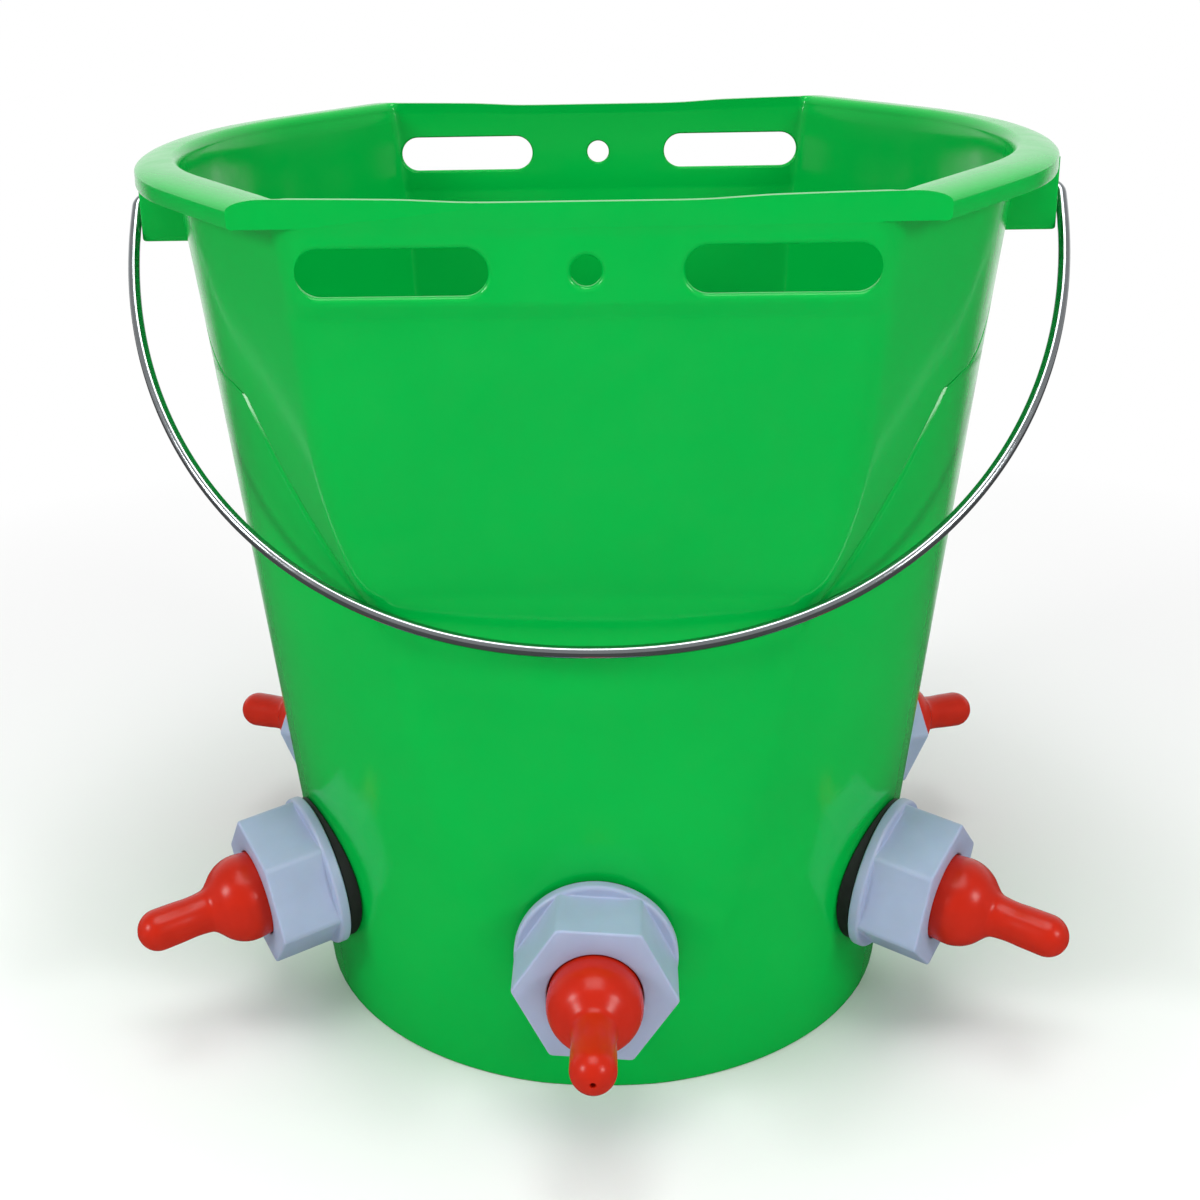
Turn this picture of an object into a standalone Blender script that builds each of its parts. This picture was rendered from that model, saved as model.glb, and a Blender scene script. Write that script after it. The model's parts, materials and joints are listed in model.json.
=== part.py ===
"""Multi-teat feeding bucket for lambs: a flat-fronted plastic bucket with a hanging rim,
a wire bail and six screwed teat units, each with its own non-return ball valve.

Metres, +Z up. The origin is the centre of the base on the ground. The slotted panels face
-Y and +Y, the bail ears stand at -X and +X.
"""

import math

import bmesh
import bpy
from mathutils import Matrix, Vector

# Bucket body
BUCKET_HEIGHT = 0.277
BASE_RADIUS = 0.0970
RIM_RADIUS = 0.1283
WALL = 0.0022
FLOOR = 0.0025
FOOT_HEIGHT = 0.0030
FOOT_WIDTH = 0.0065
BODY_SEGMENTS = 72

# Lower flats, which hold the front and the rear teat and stand just proud of the base
LOWER_FLAT_PROUD = 0.0008
LOWER_FLAT_DEPTH = BASE_RADIUS + LOWER_FLAT_PROUD
LOWER_FLAT_DRAFT = math.radians(0.5)

# Hood: the flat-fronted upper body that flares out of the cone
HOOD_BOTTOM = 0.150
PANEL_DEPTH = 0.1162
PANEL_SLOPE = 0.10
PANEL_CURVATURE = 1.0
STEP_BOTTOM = 0.2465
STEP_HEIGHT = 0.0060
STEP_DEPTH = 0.0022
FACET_AZIMUTH = math.radians(56.3)
FACET_PROUD = 0.0010
FACET_CURVE_START = 0.216
FACET_CURVATURE = 2.7
FACET_SLOPE = 0.1296
SIDE_SINK = 0.0006
HOOD_ROWS = 9
SIDE_STEPS = 7

# Rim lip
LIP_WIDTH = 0.0110
LIP_DEPTH = 0.0055
LIP_CROWN = 0.0021
LIP_ROUND_WIDTH = 0.0085
LIP_ROUND_DROP = 0.0030
LIP_UNDER_ROUND = 0.0010
LIP_ROUND_STEPS = 3
MOUTH_ROUND_WIDTH = 0.0028
MOUTH_ROUND_DROP = 0.0035
PANEL_EDGE_DROP = 0.0017
PANEL_EDGE_HALF = 0.0300
PANEL_SHOULDER_DROP = 0.0007
PANEL_SHOULDER_HALF = 0.0460
LIP_STEPS = 9

# Slots and centre hole of each panel
SLOT_LENGTH = 0.0494
SLOT_HEIGHT = 0.0123
SLOT_OFFSET = 0.0495
SLOT_LEVEL = 0.2599
PANEL_HOLE_RADIUS = 0.0040
HOLE_SEGMENTS = 24

# Bail ears
EAR_LEVEL = 0.2625
EAR_DROP = 0.0125
EAR_HALF_WIDTH = 0.0100
EAR_FACE = 0.1420
EAR_PLATE = 0.0024
EAR_WEB = 0.0022
PIVOT_PLAY = 0.0006
SNAP_SLOT_WIDTH = 0.0032

# Wire bail
WIRE_RADIUS = 0.0018
BAIL_EAR_CLEARANCE = 0.0025
BAIL_HALF_WIDTH = EAR_FACE + BAIL_EAR_CLEARANCE
BAIL_REACH = 0.1550
BAIL_SQUARENESS = 2.15
BAIL_STEPS = 36
CLEARANCE_STEPS = 8
BEND_RADIUS = 0.0036
BEND_STEPS = 4
HOOK_INSET = 0.0115
HOOK_LENGTH = 0.0060

# Teat units
TEAT_LEVEL = 0.0510
TEAT_PLACES = (
    ("front", 0.0, 26.5),
    ("front_right", 60.0, -11.0),
    ("rear_right", 120.0, 22.0),
    ("rear", 180.0, 5.0),
    ("rear_left", -120.0, -20.0),
    ("front_left", -60.0, 15.0),
)
THREAD_RADIUS = 0.0165
THREAD_PLAY = 0.0003
FLANGE_RADIUS = 0.0220
FLANGE_FACE = -0.0080
SPIGOT_LENGTH = 0.0175
OUTLET_RADIUS = 0.0135
OUTLET_DEPTH = 0.0085
UNIT_SEGMENTS = 24
BORE_SEGMENTS = 16

# Cap nut
NUT_FACE = 0.0246
NUT_CORNER_RADIUS = 0.0246
NUT_FLANGE_HEIGHT = 0.0037
NUT_LIP = 0.0037
NUT_HOLE_RADIUS = 0.0140
NUT_BEVEL = 0.0006

# Rubber seal under the nut
SEAL_RADIUS = 0.0236
SEAL_HEIGHT = 0.0018

# Rubber teat
TEAT_BULB_RADIUS = 0.0141
TEAT_BULB_CENTRE = 0.0285
NIPPLE_RADIUS = 0.0066
TEAT_LENGTH = 0.0640
RUBBER_WALL = 0.0020
TEAT_HOLE_RADIUS = 0.0008
TEAT_SEGMENTS = 16

# Ball valve
BALL_RADIUS = 0.0050
BALL_TRAVEL = 0.0030
INLET_RADIUS = 0.0030
INLET_LENGTH = 0.0020
CHANNEL_WIDTH = 0.0028
CHANNEL_RADIUS = 0.0072
RETAINER_RADIUS = 0.0080
RETAINER_HEIGHT = 0.0015
RETAINER_RING = 0.0018
RETAINER_BAR = 0.0024

# Clearance between touching pieces
GAP = 0.0003

LIP_TOP = BUCKET_HEIGHT + LIP_CROWN
STEP_TOP = STEP_BOTTOM + STEP_HEIGHT
TAPER = (RIM_RADIUS - BASE_RADIUS) / BUCKET_HEIGHT
PIVOT_HOLE_RADIUS = WIRE_RADIUS + PIVOT_PLAY
WALL_HOLE_RADIUS = THREAD_RADIUS + THREAD_PLAY


def clear_scene():
    """Remove every object that the new file starts with."""
    for obj in list(bpy.data.objects):
        bpy.data.objects.remove(obj, do_unlink=True)


def collection(name):
    """Return a new collection under the scene."""
    group = bpy.data.collections.new(name)
    bpy.context.scene.collection.children.link(group)
    return group


def material(name, colour, roughness, metallic=0.0):
    """Return a plain Principled material."""
    finish = bpy.data.materials.new(name)
    finish.use_nodes = True
    shader = finish.node_tree.nodes["Principled BSDF"]
    shader.inputs["Base Color"].default_value = (*colour, 1.0)
    shader.inputs["Roughness"].default_value = roughness
    shader.inputs["Metallic"].default_value = metallic
    return finish


def mesh_object(name, mesh, group, finish=None):
    """Link a mesh as a named object."""
    obj = bpy.data.objects.new(name, mesh)
    group.objects.link(obj)
    if finish:
        mesh.materials.append(finish)
    return obj


def from_bmesh(name, solid, group, finish=None):
    """Turn a bmesh into a named object."""
    mesh = bpy.data.meshes.new(name)
    solid.to_mesh(mesh)
    solid.free()
    return mesh_object(name, mesh, group, finish)


def cutter(obj):
    """Mark a helper solid, which isn't part of the bucket."""
    obj.hide_render = True
    obj.display_type = "WIRE"
    return obj


def boolean(target, tool, operation="DIFFERENCE"):
    """Add an exact Boolean with a helper solid to the target."""
    step = target.modifiers.new(operation.title(), "BOOLEAN")
    step.operation = operation
    step.solver = "EXACT"
    step.object = cutter(tool)
    return target


def applied(obj):
    """Fix an object's modifiers into its mesh."""
    graph = bpy.context.evaluated_depsgraph_get()
    graph.update()
    mesh = bpy.data.meshes.new_from_object(obj.evaluated_get(graph))
    obj.modifiers.clear()
    obj.data = mesh
    return obj


def smooth(obj, angle=30.0):
    """Shade the round faces smooth and keep the edges sharp."""
    obj.data.shade_smooth()
    obj.data.set_sharp_from_angle(angle=math.radians(angle))
    return obj


def round_body(name, radius, end_radius, start, end, group, place=None):
    """Make a cone of the bucket's body, turned so that the side teats face the middle of a flat."""
    turn = Matrix.Rotation(math.pi / BODY_SEGMENTS, 4, "Z")
    place = (place or Matrix()) @ turn
    return cylinder(name, radius, start, end, group, BODY_SEGMENTS, end_radius, place)


def cylinder(name, radius, start, end, group, segments=UNIT_SEGMENTS, end_radius=None, place=None):
    """Make a cylinder or cone on the local Z axis between two levels."""
    solid = bmesh.new()
    bmesh.ops.create_cone(
        solid,
        cap_ends=True,
        segments=segments,
        radius1=radius,
        radius2=radius if end_radius is None else end_radius,
        depth=end - start,
        matrix=(place or Matrix()) @ Matrix.Translation((0.0, 0.0, (start + end) / 2)),
    )
    return from_bmesh(name, solid, group)


def box(name, low, high, group):
    """Make a box between two corners."""
    solid = bmesh.new()
    size = [b - a for a, b in zip(low, high)]
    centre = [(a + b) / 2 for a, b in zip(low, high)]
    place = Matrix.Translation(centre) @ Matrix.Diagonal((*size, 1.0))
    bmesh.ops.create_cube(solid, size=1.0, matrix=place)
    return from_bmesh(name, solid, group)


def loft(name, rows, group):
    """Skin closed outlines of the same number of points, lowest first, and cap both ends."""
    solid = bmesh.new()
    rings = [[solid.verts.new(point) for point in row] for row in rows]
    count = len(rings[0])
    for lower, upper in zip(rings, rings[1:]):
        for i in range(count):
            j = (i + 1) % count
            solid.faces.new((lower[i], lower[j], upper[j], upper[i]))
    solid.faces.new(reversed(rings[0]))
    solid.faces.new(rings[-1])
    return from_bmesh(name, solid, group)


def turned(name, profile, group, finish, segments=UNIT_SEGMENTS):
    """Turn a closed (radius, level) profile about the local Z axis with a Screw modifier."""
    mesh = bpy.data.meshes.new(name)
    count = len(profile)
    points = [(radius, 0.0, level) for radius, level in profile]
    mesh.from_pydata(points, [(i, (i + 1) % count) for i in range(count)], [])
    obj = mesh_object(name, mesh, group, finish)
    screw = obj.modifiers.new("Turn", "SCREW")
    screw.axis = "Z"
    screw.angle = math.tau
    screw.steps = segments
    screw.render_steps = segments
    screw.use_merge_vertices = True
    screw.merge_threshold = 0.00001
    screw.use_smooth_shade = False
    return obj


def four_quadrants(quadrant):
    """Mirror points that run from the front panel to the +X side into one closed outline."""
    right = list(quadrant) + [(x, -y) for x, y in reversed(quadrant) if abs(y) > 1e-9]
    left = [(-x, y) for x, y in reversed(right)]
    return right + left


def cone_radius(level, inset=0.0):
    """Radius of the round body at a level, or of a surface a distance inside it."""
    return BASE_RADIUS + TAPER * level - inset * math.hypot(1.0, TAPER)


def lower_flat(level, inset=0.0):
    """Distance of the lower flats from the axis."""
    return LOWER_FLAT_DEPTH + math.tan(LOWER_FLAT_DRAFT) * level - inset


def panel_distance(level, inset=0.0):
    """Distance of the upper panel from the axis: slotted band, step, then a curved run-in."""
    if level >= STEP_TOP:
        return PANEL_DEPTH - inset
    below = max(STEP_BOTTOM - level, 0.0)
    run_in = PANEL_SLOPE * below + PANEL_CURVATURE * below * below
    drop = min((STEP_TOP - level) / STEP_HEIGHT, 1.0) * STEP_DEPTH
    return PANEL_DEPTH - drop - run_in - inset


def facet_distance(level, inset=0.0):
    """Distance of the corner facets from the axis: straight above, curving in below."""
    below = max(FACET_CURVE_START - level, 0.0)
    top = RIM_RADIUS + FACET_PROUD
    return top - FACET_SLOPE * (BUCKET_HEIGHT - level) - FACET_CURVATURE * below * below - inset


def hood_radius(azimuth, level, inset=0.0):
    """Radius of the hood at an azimuth from the front: corner facet, then an arc sunk in the cone."""
    distance = facet_distance(level, inset)
    if azimuth <= FACET_AZIMUTH:
        return distance / math.cos(azimuth - FACET_AZIMUTH)
    side = min(distance, cone_radius(level, inset)) - SIDE_SINK
    share = (azimuth - FACET_AZIMUTH) / (math.pi / 2 - FACET_AZIMUTH)
    return distance - (distance - side) * share * share


def hood_outline(level, inset=0.0, extra=0.0):
    """Section of the hood: flat panel, tangent corner facet, then the sunken side arc."""
    depth = panel_distance(level, inset) + extra
    edge = facet_distance(level, inset) - depth * math.cos(FACET_AZIMUTH)
    quadrant = [(edge / math.sin(FACET_AZIMUTH), -depth)]
    for step in range(SIDE_STEPS + 1):
        azimuth = FACET_AZIMUTH + step / SIDE_STEPS * (math.pi / 2 - FACET_AZIMUTH)
        radius = hood_radius(azimuth, level, inset)
        quadrant.append((radius * math.sin(azimuth), -radius * math.cos(azimuth)))
    quadrant[-1] = (quadrant[-1][0], 0.0)
    return four_quadrants(quadrant)


def hood_levels(top):
    """Levels of the hood's sections, with one at each end of the step."""
    count = HOOD_ROWS - 3
    curved = [HOOD_BOTTOM + (STEP_BOTTOM - HOOD_BOTTOM) * i / count for i in range(count + 1)]
    return curved + [STEP_TOP, top]


def body_solid(name, inset, bottom, top, group, extra=0.0):
    """Round body with lower flats, joined with the hood, a distance inside the outer surface."""
    low = cone_radius(bottom, inset)
    high = cone_radius(top, inset)
    body = round_body(name, low, high, bottom, top, group)
    reach = 2 * RIM_RADIUS
    for side in (-1, 1):
        rows = []
        for level in (-BUCKET_HEIGHT, 2 * BUCKET_HEIGHT):
            near = side * lower_flat(level, inset)
            far = side * reach
            corners = ((-reach, near), (reach, near), (reach, far), (-reach, far))
            rows.append([(x, y, level) for x, y in (corners if side > 0 else reversed(corners))])
        boolean(body, loft(name + "_flat", rows, group))
    rows = []
    for level in hood_levels(top):
        proud = extra if level >= STEP_TOP else 0.0
        rows.append([(x, y, level) for x, y in hood_outline(level, inset, proud)])
    boolean(body, loft(name + "_hood", rows, group), "UNION")
    return applied(body)


def lip_outline(width):
    """Rim outline a width outside the hood's top: facet lines and round sides."""
    reach = RIM_RADIUS + FACET_PROUD + width
    quadrant = []
    for step in range(LIP_STEPS + 1):
        azimuth = FACET_AZIMUTH + (math.pi / 2 - FACET_AZIMUTH) * step / LIP_STEPS
        quadrant.append((reach * math.sin(azimuth), -reach * math.cos(azimuth)))
    quadrant[-1] = (reach, 0.0)
    depth = PANEL_DEPTH + LIP_WIDTH
    half_width = (reach - depth * math.cos(FACET_AZIMUTH)) / math.sin(FACET_AZIMUTH)
    return four_quadrants([(half_width, -depth)] + quadrant)


def rim_lip(group):
    """Solid rim disc with a rounded outer edge; the cavity is cut out of it later."""
    under = BUCKET_HEIGHT - LIP_DEPTH
    profile = [(LIP_WIDTH - LIP_UNDER_ROUND, under), (LIP_WIDTH, under + LIP_UNDER_ROUND)]
    for step in range(LIP_ROUND_STEPS + 1):
        angle = math.pi / 2 * step / LIP_ROUND_STEPS
        width = LIP_WIDTH - LIP_ROUND_WIDTH * (1 - math.cos(angle))
        profile.append((width, LIP_TOP - LIP_ROUND_DROP * (1 - math.sin(angle))))
    rows = [[(x, y, level) for x, y in lip_outline(width)] for width, level in profile]
    return loft("rim_lip", rows, group)


def mouth_round(group):
    """Cutter that rounds the mouth's inner edge, all but the panels'."""
    rows = [(LIP_TOP - MOUTH_ROUND_DROP, -GAP)]
    for step in range(1, LIP_ROUND_STEPS + 1):
        angle = math.pi / 2 * step / LIP_ROUND_STEPS
        flare = MOUTH_ROUND_WIDTH * (1 - math.cos(angle))
        rows.append((LIP_TOP - MOUTH_ROUND_DROP * (1 - math.sin(angle)), flare))
    rows.append((LIP_TOP + WALL, MOUTH_ROUND_WIDTH))
    outlines = []
    for level, flare in rows:
        outline = hood_outline(level, WALL - flare, -flare)
        outlines.append([(x, y, level) for x, y in outline])
    return loft("mouth_round", outlines, group)


def edge_trim(side, group):
    """Cutter that dips the top edge of one panel towards its middle."""
    top = LIP_TOP + WALL
    edge_half = hood_outline(BUCKET_HEIGHT)[0][0]
    right = [
        (PANEL_EDGE_HALF, LIP_TOP - PANEL_EDGE_DROP),
        (PANEL_SHOULDER_HALF, LIP_TOP - PANEL_SHOULDER_DROP),
        (edge_half, LIP_TOP),
        (edge_half, top),
    ]
    outline = right + [(-x, level) for x, level in reversed(right)]
    low, high = sorted((side * (PANEL_DEPTH - 3 * WALL), side * 2 * PANEL_DEPTH))
    rows = [[(x, y, level) for x, level in outline] for y in (high, low)]
    return loft("edge_trim", rows, group)


def slot_cutter(x, side, group):
    """Round-ended slot through one panel."""
    half = SLOT_LENGTH / 2 - SLOT_HEIGHT / 2
    turns = HOLE_SEGMENTS // 2
    outline = []
    for end in (1, -1):
        for step in range(turns + 1):
            angle = -math.pi / 2 + math.pi * step / turns
            outline.append((
                x + end * (half + math.cos(angle) * SLOT_HEIGHT / 2),
                SLOT_LEVEL + end * math.sin(angle) * SLOT_HEIGHT / 2,
            ))
    near = side * (PANEL_DEPTH - 3 * WALL)
    far = side * (PANEL_DEPTH + 3 * WALL)
    low, high = sorted((near, far))
    rows = [[(px, level, pz) for px, pz in outline] for level in (high, low)]
    return loft("slot_cutter", rows, group)


def panel_hole_cutter(side, group):
    """Round centre hole through one panel."""
    turn = Matrix.Rotation(math.pi / 2, 4, "X")
    low, high = sorted((-side * (PANEL_DEPTH - 3 * WALL), -side * (PANEL_DEPTH + 3 * WALL)))
    place = Matrix.Translation((0.0, 0.0, SLOT_LEVEL)) @ turn
    return cylinder("panel_hole_cutter", PANEL_HOLE_RADIUS, low, high, group, HOLE_SEGMENTS, place=place)


def add_ears(body, side, helpers):
    """Hollow lug under the rim, open below, whose outer plate holds the bail."""
    bottom = EAR_LEVEL - EAR_DROP
    top = BUCKET_HEIGHT - LIP_DEPTH / 2
    inner = cone_radius(bottom) - WALL / 2
    low, high = sorted((side * inner, side * EAR_FACE))
    block = box("ear_block", (low, -EAR_HALF_WIDTH, bottom), (high, EAR_HALF_WIDTH, top), helpers)
    boolean(body, block, "UNION")


def cut_ears(body, side, helpers):
    """Hollow out a lug and cut its pivot hole and snap-in slot."""
    bottom = EAR_LEVEL - EAR_DROP
    under_lip = BUCKET_HEIGHT - LIP_DEPTH
    wall_face = cone_radius(under_lip)
    low, high = sorted((side * wall_face, side * (EAR_FACE - EAR_PLATE)))
    half = EAR_HALF_WIDTH - EAR_WEB
    boolean(body, box("ear_hollow", (low, -half, bottom - WALL), (high, half, under_lip), helpers))
    turn = Matrix.Rotation(side * math.pi / 2, 4, "Y")
    place = Matrix.Translation((0.0, 0.0, EAR_LEVEL)) @ turn
    start = EAR_FACE - 2 * EAR_PLATE
    end = EAR_FACE + EAR_PLATE
    hole = cylinder("pivot_hole", PIVOT_HOLE_RADIUS, start, end, helpers, HOLE_SEGMENTS, place=place)
    boolean(body, hole)
    low, high = sorted((side * start, side * end))
    slot_half = SNAP_SLOT_WIDTH / 2
    slot = box("snap_slot", (low, -slot_half, bottom - WALL), (high, slot_half, EAR_LEVEL), helpers)
    boolean(body, slot)


def unit_matrix(azimuth, on_flat):
    """Frame of a teat unit: +Z along the outward normal of the wall, origin on the wall."""
    tilt = LOWER_FLAT_DRAFT if on_flat else math.atan(TAPER)
    reach = lower_flat(TEAT_LEVEL) if on_flat else cone_radius(TEAT_LEVEL)
    outward = Vector((math.sin(azimuth), -math.cos(azimuth), 0.0))
    axis = outward * math.cos(tilt) - Vector((0.0, 0.0, math.sin(tilt)))
    side = Vector((math.cos(azimuth), math.sin(azimuth), 0.0))
    up = axis.cross(side)
    place = Matrix((side, up, axis)).transposed().to_4x4()
    place.translation = outward * reach + Vector((0.0, 0.0, TEAT_LEVEL))
    return place


def is_on_flat(azimuth):
    """The front and the rear unit sit on the lower flats."""
    return abs(math.sin(azimuth)) * cone_radius(TEAT_LEVEL) < FLANGE_RADIUS


def bucket_shell(group, helpers, finish):
    """Moulded bucket in one piece."""
    shell = body_solid("bucket_shell", 0.0, 0.0, BUCKET_HEIGHT, helpers, extra=WALL / 4)
    boolean(shell, rim_lip(helpers), "UNION")
    for side in (-1, 1):
        add_ears(shell, side, helpers)
    reach = 2 * BUCKET_HEIGHT
    for side in (-1, 1):
        low, high = sorted((side * PANEL_DEPTH, side * reach))
        boolean(shell, box("panel_plane", (-reach, low, -reach), (reach, high, reach), helpers))
    floor_level = FOOT_HEIGHT + FLOOR
    cavity = body_solid("cavity", WALL, floor_level, LIP_TOP + WALL, helpers)
    boolean(shell, cavity)
    boolean(shell, mouth_round(helpers))
    foot_inner = BASE_RADIUS - FOOT_WIDTH
    boolean(shell, round_body("foot_recess", foot_inner, foot_inner, -WALL, FOOT_HEIGHT, helpers))
    for side in (-1, 1):
        boolean(shell, edge_trim(side, helpers))
        for x in (-SLOT_OFFSET, SLOT_OFFSET):
            boolean(shell, slot_cutter(x, side, helpers))
        boolean(shell, panel_hole_cutter(side, helpers))
        cut_ears(shell, side, helpers)
    for _, degrees, _ in TEAT_PLACES:
        azimuth = math.radians(degrees)
        place = unit_matrix(azimuth, is_on_flat(azimuth))
        reach = 5 * WALL
        boolean(shell, cylinder("teat_hole", WALL_HOLE_RADIUS, -reach, reach, helpers, place=place))
    applied(shell)
    helpers.objects.unlink(shell)
    group.objects.link(shell)
    shell.hide_render = False
    shell.display_type = "TEXTURED"
    shell.data.materials.clear()
    shell.data.materials.append(finish)
    return smooth(shell)


def bail_path():
    """Centre line of half the wire in its own plane, as (across, reach): hook, bend, arc."""
    hook_x = BAIL_HALF_WIDTH - HOOK_INSET
    path = [(hook_x, HOOK_LENGTH)]
    for step in range(BEND_STEPS + 1):
        angle = math.pi / 2 * step / BEND_STEPS
        path.append((
            hook_x + BEND_RADIUS * (1 - math.cos(angle)),
            BEND_RADIUS * (1 - math.sin(angle)),
        ))
    for step in range(BEND_STEPS + 1):
        angle = math.pi / 2 * step / BEND_STEPS
        path.append((
            BAIL_HALF_WIDTH - BEND_RADIUS * (1 - math.sin(angle)),
            BEND_RADIUS * (1 - math.cos(angle)),
        ))
    start = math.asin((BEND_RADIUS / BAIL_REACH) ** (BAIL_SQUARENESS / 2))
    half = BAIL_STEPS // 2
    for step in range(1, half + 1):
        angle = start + (math.pi / 2 - start) * step / half
        path.append((
            BAIL_HALF_WIDTH * max(math.cos(angle), 0.0) ** (2 / BAIL_SQUARENESS),
            BAIL_REACH * math.sin(angle) ** (2 / BAIL_SQUARENESS),
        ))
    path[-1] = (0.0, BAIL_REACH)
    return path


def inside_body(x, y, level, margin):
    """Whether a point lies within a margin of the bucket's outer surface."""
    radius = math.hypot(x, y)
    if radius < cone_radius(level, -margin) and abs(y) < lower_flat(level, -margin):
        return True
    in_hood = radius < hood_radius(math.atan2(abs(x), abs(y)), level, -margin)
    return level > HOOD_BOTTOM and in_hood and abs(y) < panel_distance(level, -margin)


def bail_rest_angle():
    """Angle from straight down at which the wire first clears the bucket's front."""
    margin = WIRE_RADIUS + GAP
    hanging = [point for point in bail_path() if point[1] > EAR_DROP]
    path = []
    for start, end in zip(hanging, hanging[1:]):
        for step in range(CLEARANCE_STEPS):
            share = step / CLEARANCE_STEPS
            path.append([a + (b - a) * share for a, b in zip(start, end)])
    low = 0.0
    high = math.pi / 2
    for _ in range(30):
        middle = (low + high) / 2
        touching = any(
            inside_body(x, -reach * math.sin(middle), EAR_LEVEL - reach * math.cos(middle), margin)
            for x, reach in path
        )
        low, high = (middle, high) if touching else (low, middle)
    return high


def wire_bail(group, finish):
    """Round wire handle, hooked at both ends into the ears."""
    half = bail_path()
    path = [(x, -reach) for x, reach in half] + [(-x, -reach) for x, reach in reversed(half[:-1])]
    curve = bpy.data.curves.new("bail_handle", "CURVE")
    curve.dimensions = "3D"
    curve.bevel_depth = WIRE_RADIUS
    curve.bevel_resolution = 2
    curve.use_fill_caps = True
    curve.resolution_u = 1
    curve.render_resolution_u = 0
    spline = curve.splines.new("POLY")
    spline.points.add(len(path) - 1)
    for point, (x, z) in zip(spline.points, path):
        point.co = (x, 0.0, z, 1.0)
    bail = bpy.data.objects.new("bail_handle", curve)
    bail.location = (0.0, 0.0, EAR_LEVEL)
    bail.rotation_euler = (-bail_rest_angle(), 0.0, 0.0)
    curve.materials.append(finish)
    group.objects.link(bail)
    return bail


def wall_solid(name, kind, inset, helpers):
    """Solid bounded by the bucket's wall, in the frame of a unit on the cone or on a flat."""
    if kind == "flat":
        reach = 3 * FLANGE_RADIUS
        return box(name, (-reach, -reach, -reach), (reach, reach, -inset), helpers)
    inverse = unit_matrix(0.0, False).inverted()
    low = cone_radius(0.0, inset)
    high = cone_radius(BUCKET_HEIGHT, inset)
    return round_body(name, low, high, 0.0, BUCKET_HEIGHT, helpers, inverse)


def valve_body(kind, helpers, finish):
    """Threaded spigot: saddle flange inside the wall, ball seat, guide bore with flow channels, outlet."""
    name = "valve_body_" + kind
    flange = cylinder(name, FLANGE_RADIUS, FLANGE_FACE, GAP, helpers)
    boolean(flange, wall_solid(name + "_inner_wall", kind, WALL + GAP, helpers), "INTERSECT")
    tube = cylinder(name + "_tube", THREAD_RADIUS, FLANGE_FACE, SPIGOT_LENGTH, helpers)
    boolean(flange, tube, "UNION")
    seat = FLANGE_FACE + INLET_LENGTH
    guide = BALL_RADIUS + GAP
    cage = seat + guide - INLET_RADIUS
    step = retainer_level() - GAP
    bore = (
        (INLET_RADIUS, FLANGE_FACE - GAP),
        (INLET_RADIUS, seat),
        (guide, cage),
        (guide, step),
        (RETAINER_RADIUS, step),
        (RETAINER_RADIUS, OUTLET_DEPTH),
        (OUTLET_RADIUS, OUTLET_DEPTH),
        (OUTLET_RADIUS, SPIGOT_LENGTH + GAP),
    )
    rings = []
    turns = [math.tau * (i + 0.5) / BORE_SEGMENTS for i in range(BORE_SEGMENTS)]
    for radius, level in bore:
        rings.append([(radius * math.cos(turn), radius * math.sin(turn), level) for turn in turns])
    boolean(flange, loft(name + "_bore", rings, helpers))
    half = CHANNEL_WIDTH / 2
    for x, y in ((CHANNEL_RADIUS, half), (half, CHANNEL_RADIUS)):
        boolean(flange, box(name + "_channel", (-x, -y, cage), (x, y, step + GAP), helpers))
    applied(flange)
    flange.data.materials.clear()
    flange.data.materials.append(finish)
    return smooth(flange).data


def ball_level():
    """Centre of the ball when it lies open against the retainer, its travel off the 45 degree seat."""
    seat = FLANGE_FACE + INLET_LENGTH
    return seat - INLET_RADIUS + math.sqrt(2.0) * (BALL_RADIUS + GAP) + BALL_TRAVEL


def retainer_level():
    """Lower face of the retainer, which stops the open ball."""
    return ball_level() + BALL_RADIUS + GAP


def ball_retainer(helpers, finish):
    """Snap-in ring with one cross bar that keeps the ball in its cage."""
    low = retainer_level()
    high = low + RETAINER_HEIGHT
    outer = RETAINER_RADIUS - GAP
    inner = outer - RETAINER_RING
    profile = ((outer, high), (outer, low), (inner, low), (inner, high))
    ring = turned("ball_retainer", profile, helpers, finish, BORE_SEGMENTS)
    applied(ring)
    half = RETAINER_BAR / 2
    reach = inner + RETAINER_RING / 2
    bar = box("retainer_bar", (-reach, -half, low), (reach, half, high), helpers)
    boolean(ring, bar, "UNION")
    return smooth(applied(ring)).data


def cap_nut(helpers, finish):
    """Hexagon union nut with a round flange, a threaded bore and an inner lip."""
    start = SEAL_HEIGHT + GAP
    flange = cylinder("cap_nut", NUT_CORNER_RADIUS, start, start + NUT_FLANGE_HEIGHT, helpers)
    corner = NUT_CORNER_RADIUS - NUT_BEVEL / 2
    hexagon = cylinder("cap_nut_hexagon", corner, start + GAP, NUT_FACE, helpers, 6)
    bevel = hexagon.modifiers.new("Rounded edges", "BEVEL")
    bevel.width = NUT_BEVEL
    bevel.segments = 1
    applied(hexagon)
    boolean(flange, hexagon, "UNION")
    bore = WALL_HOLE_RADIUS
    boolean(flange, cylinder("nut_bore", bore, start - GAP, NUT_FACE - NUT_LIP, helpers))
    boolean(flange, cylinder("nut_hole", NUT_HOLE_RADIUS, start - GAP, NUT_FACE + GAP, helpers))
    applied(flange)
    flange.data.materials.clear()
    flange.data.materials.append(finish)
    return smooth(flange).data


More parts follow.
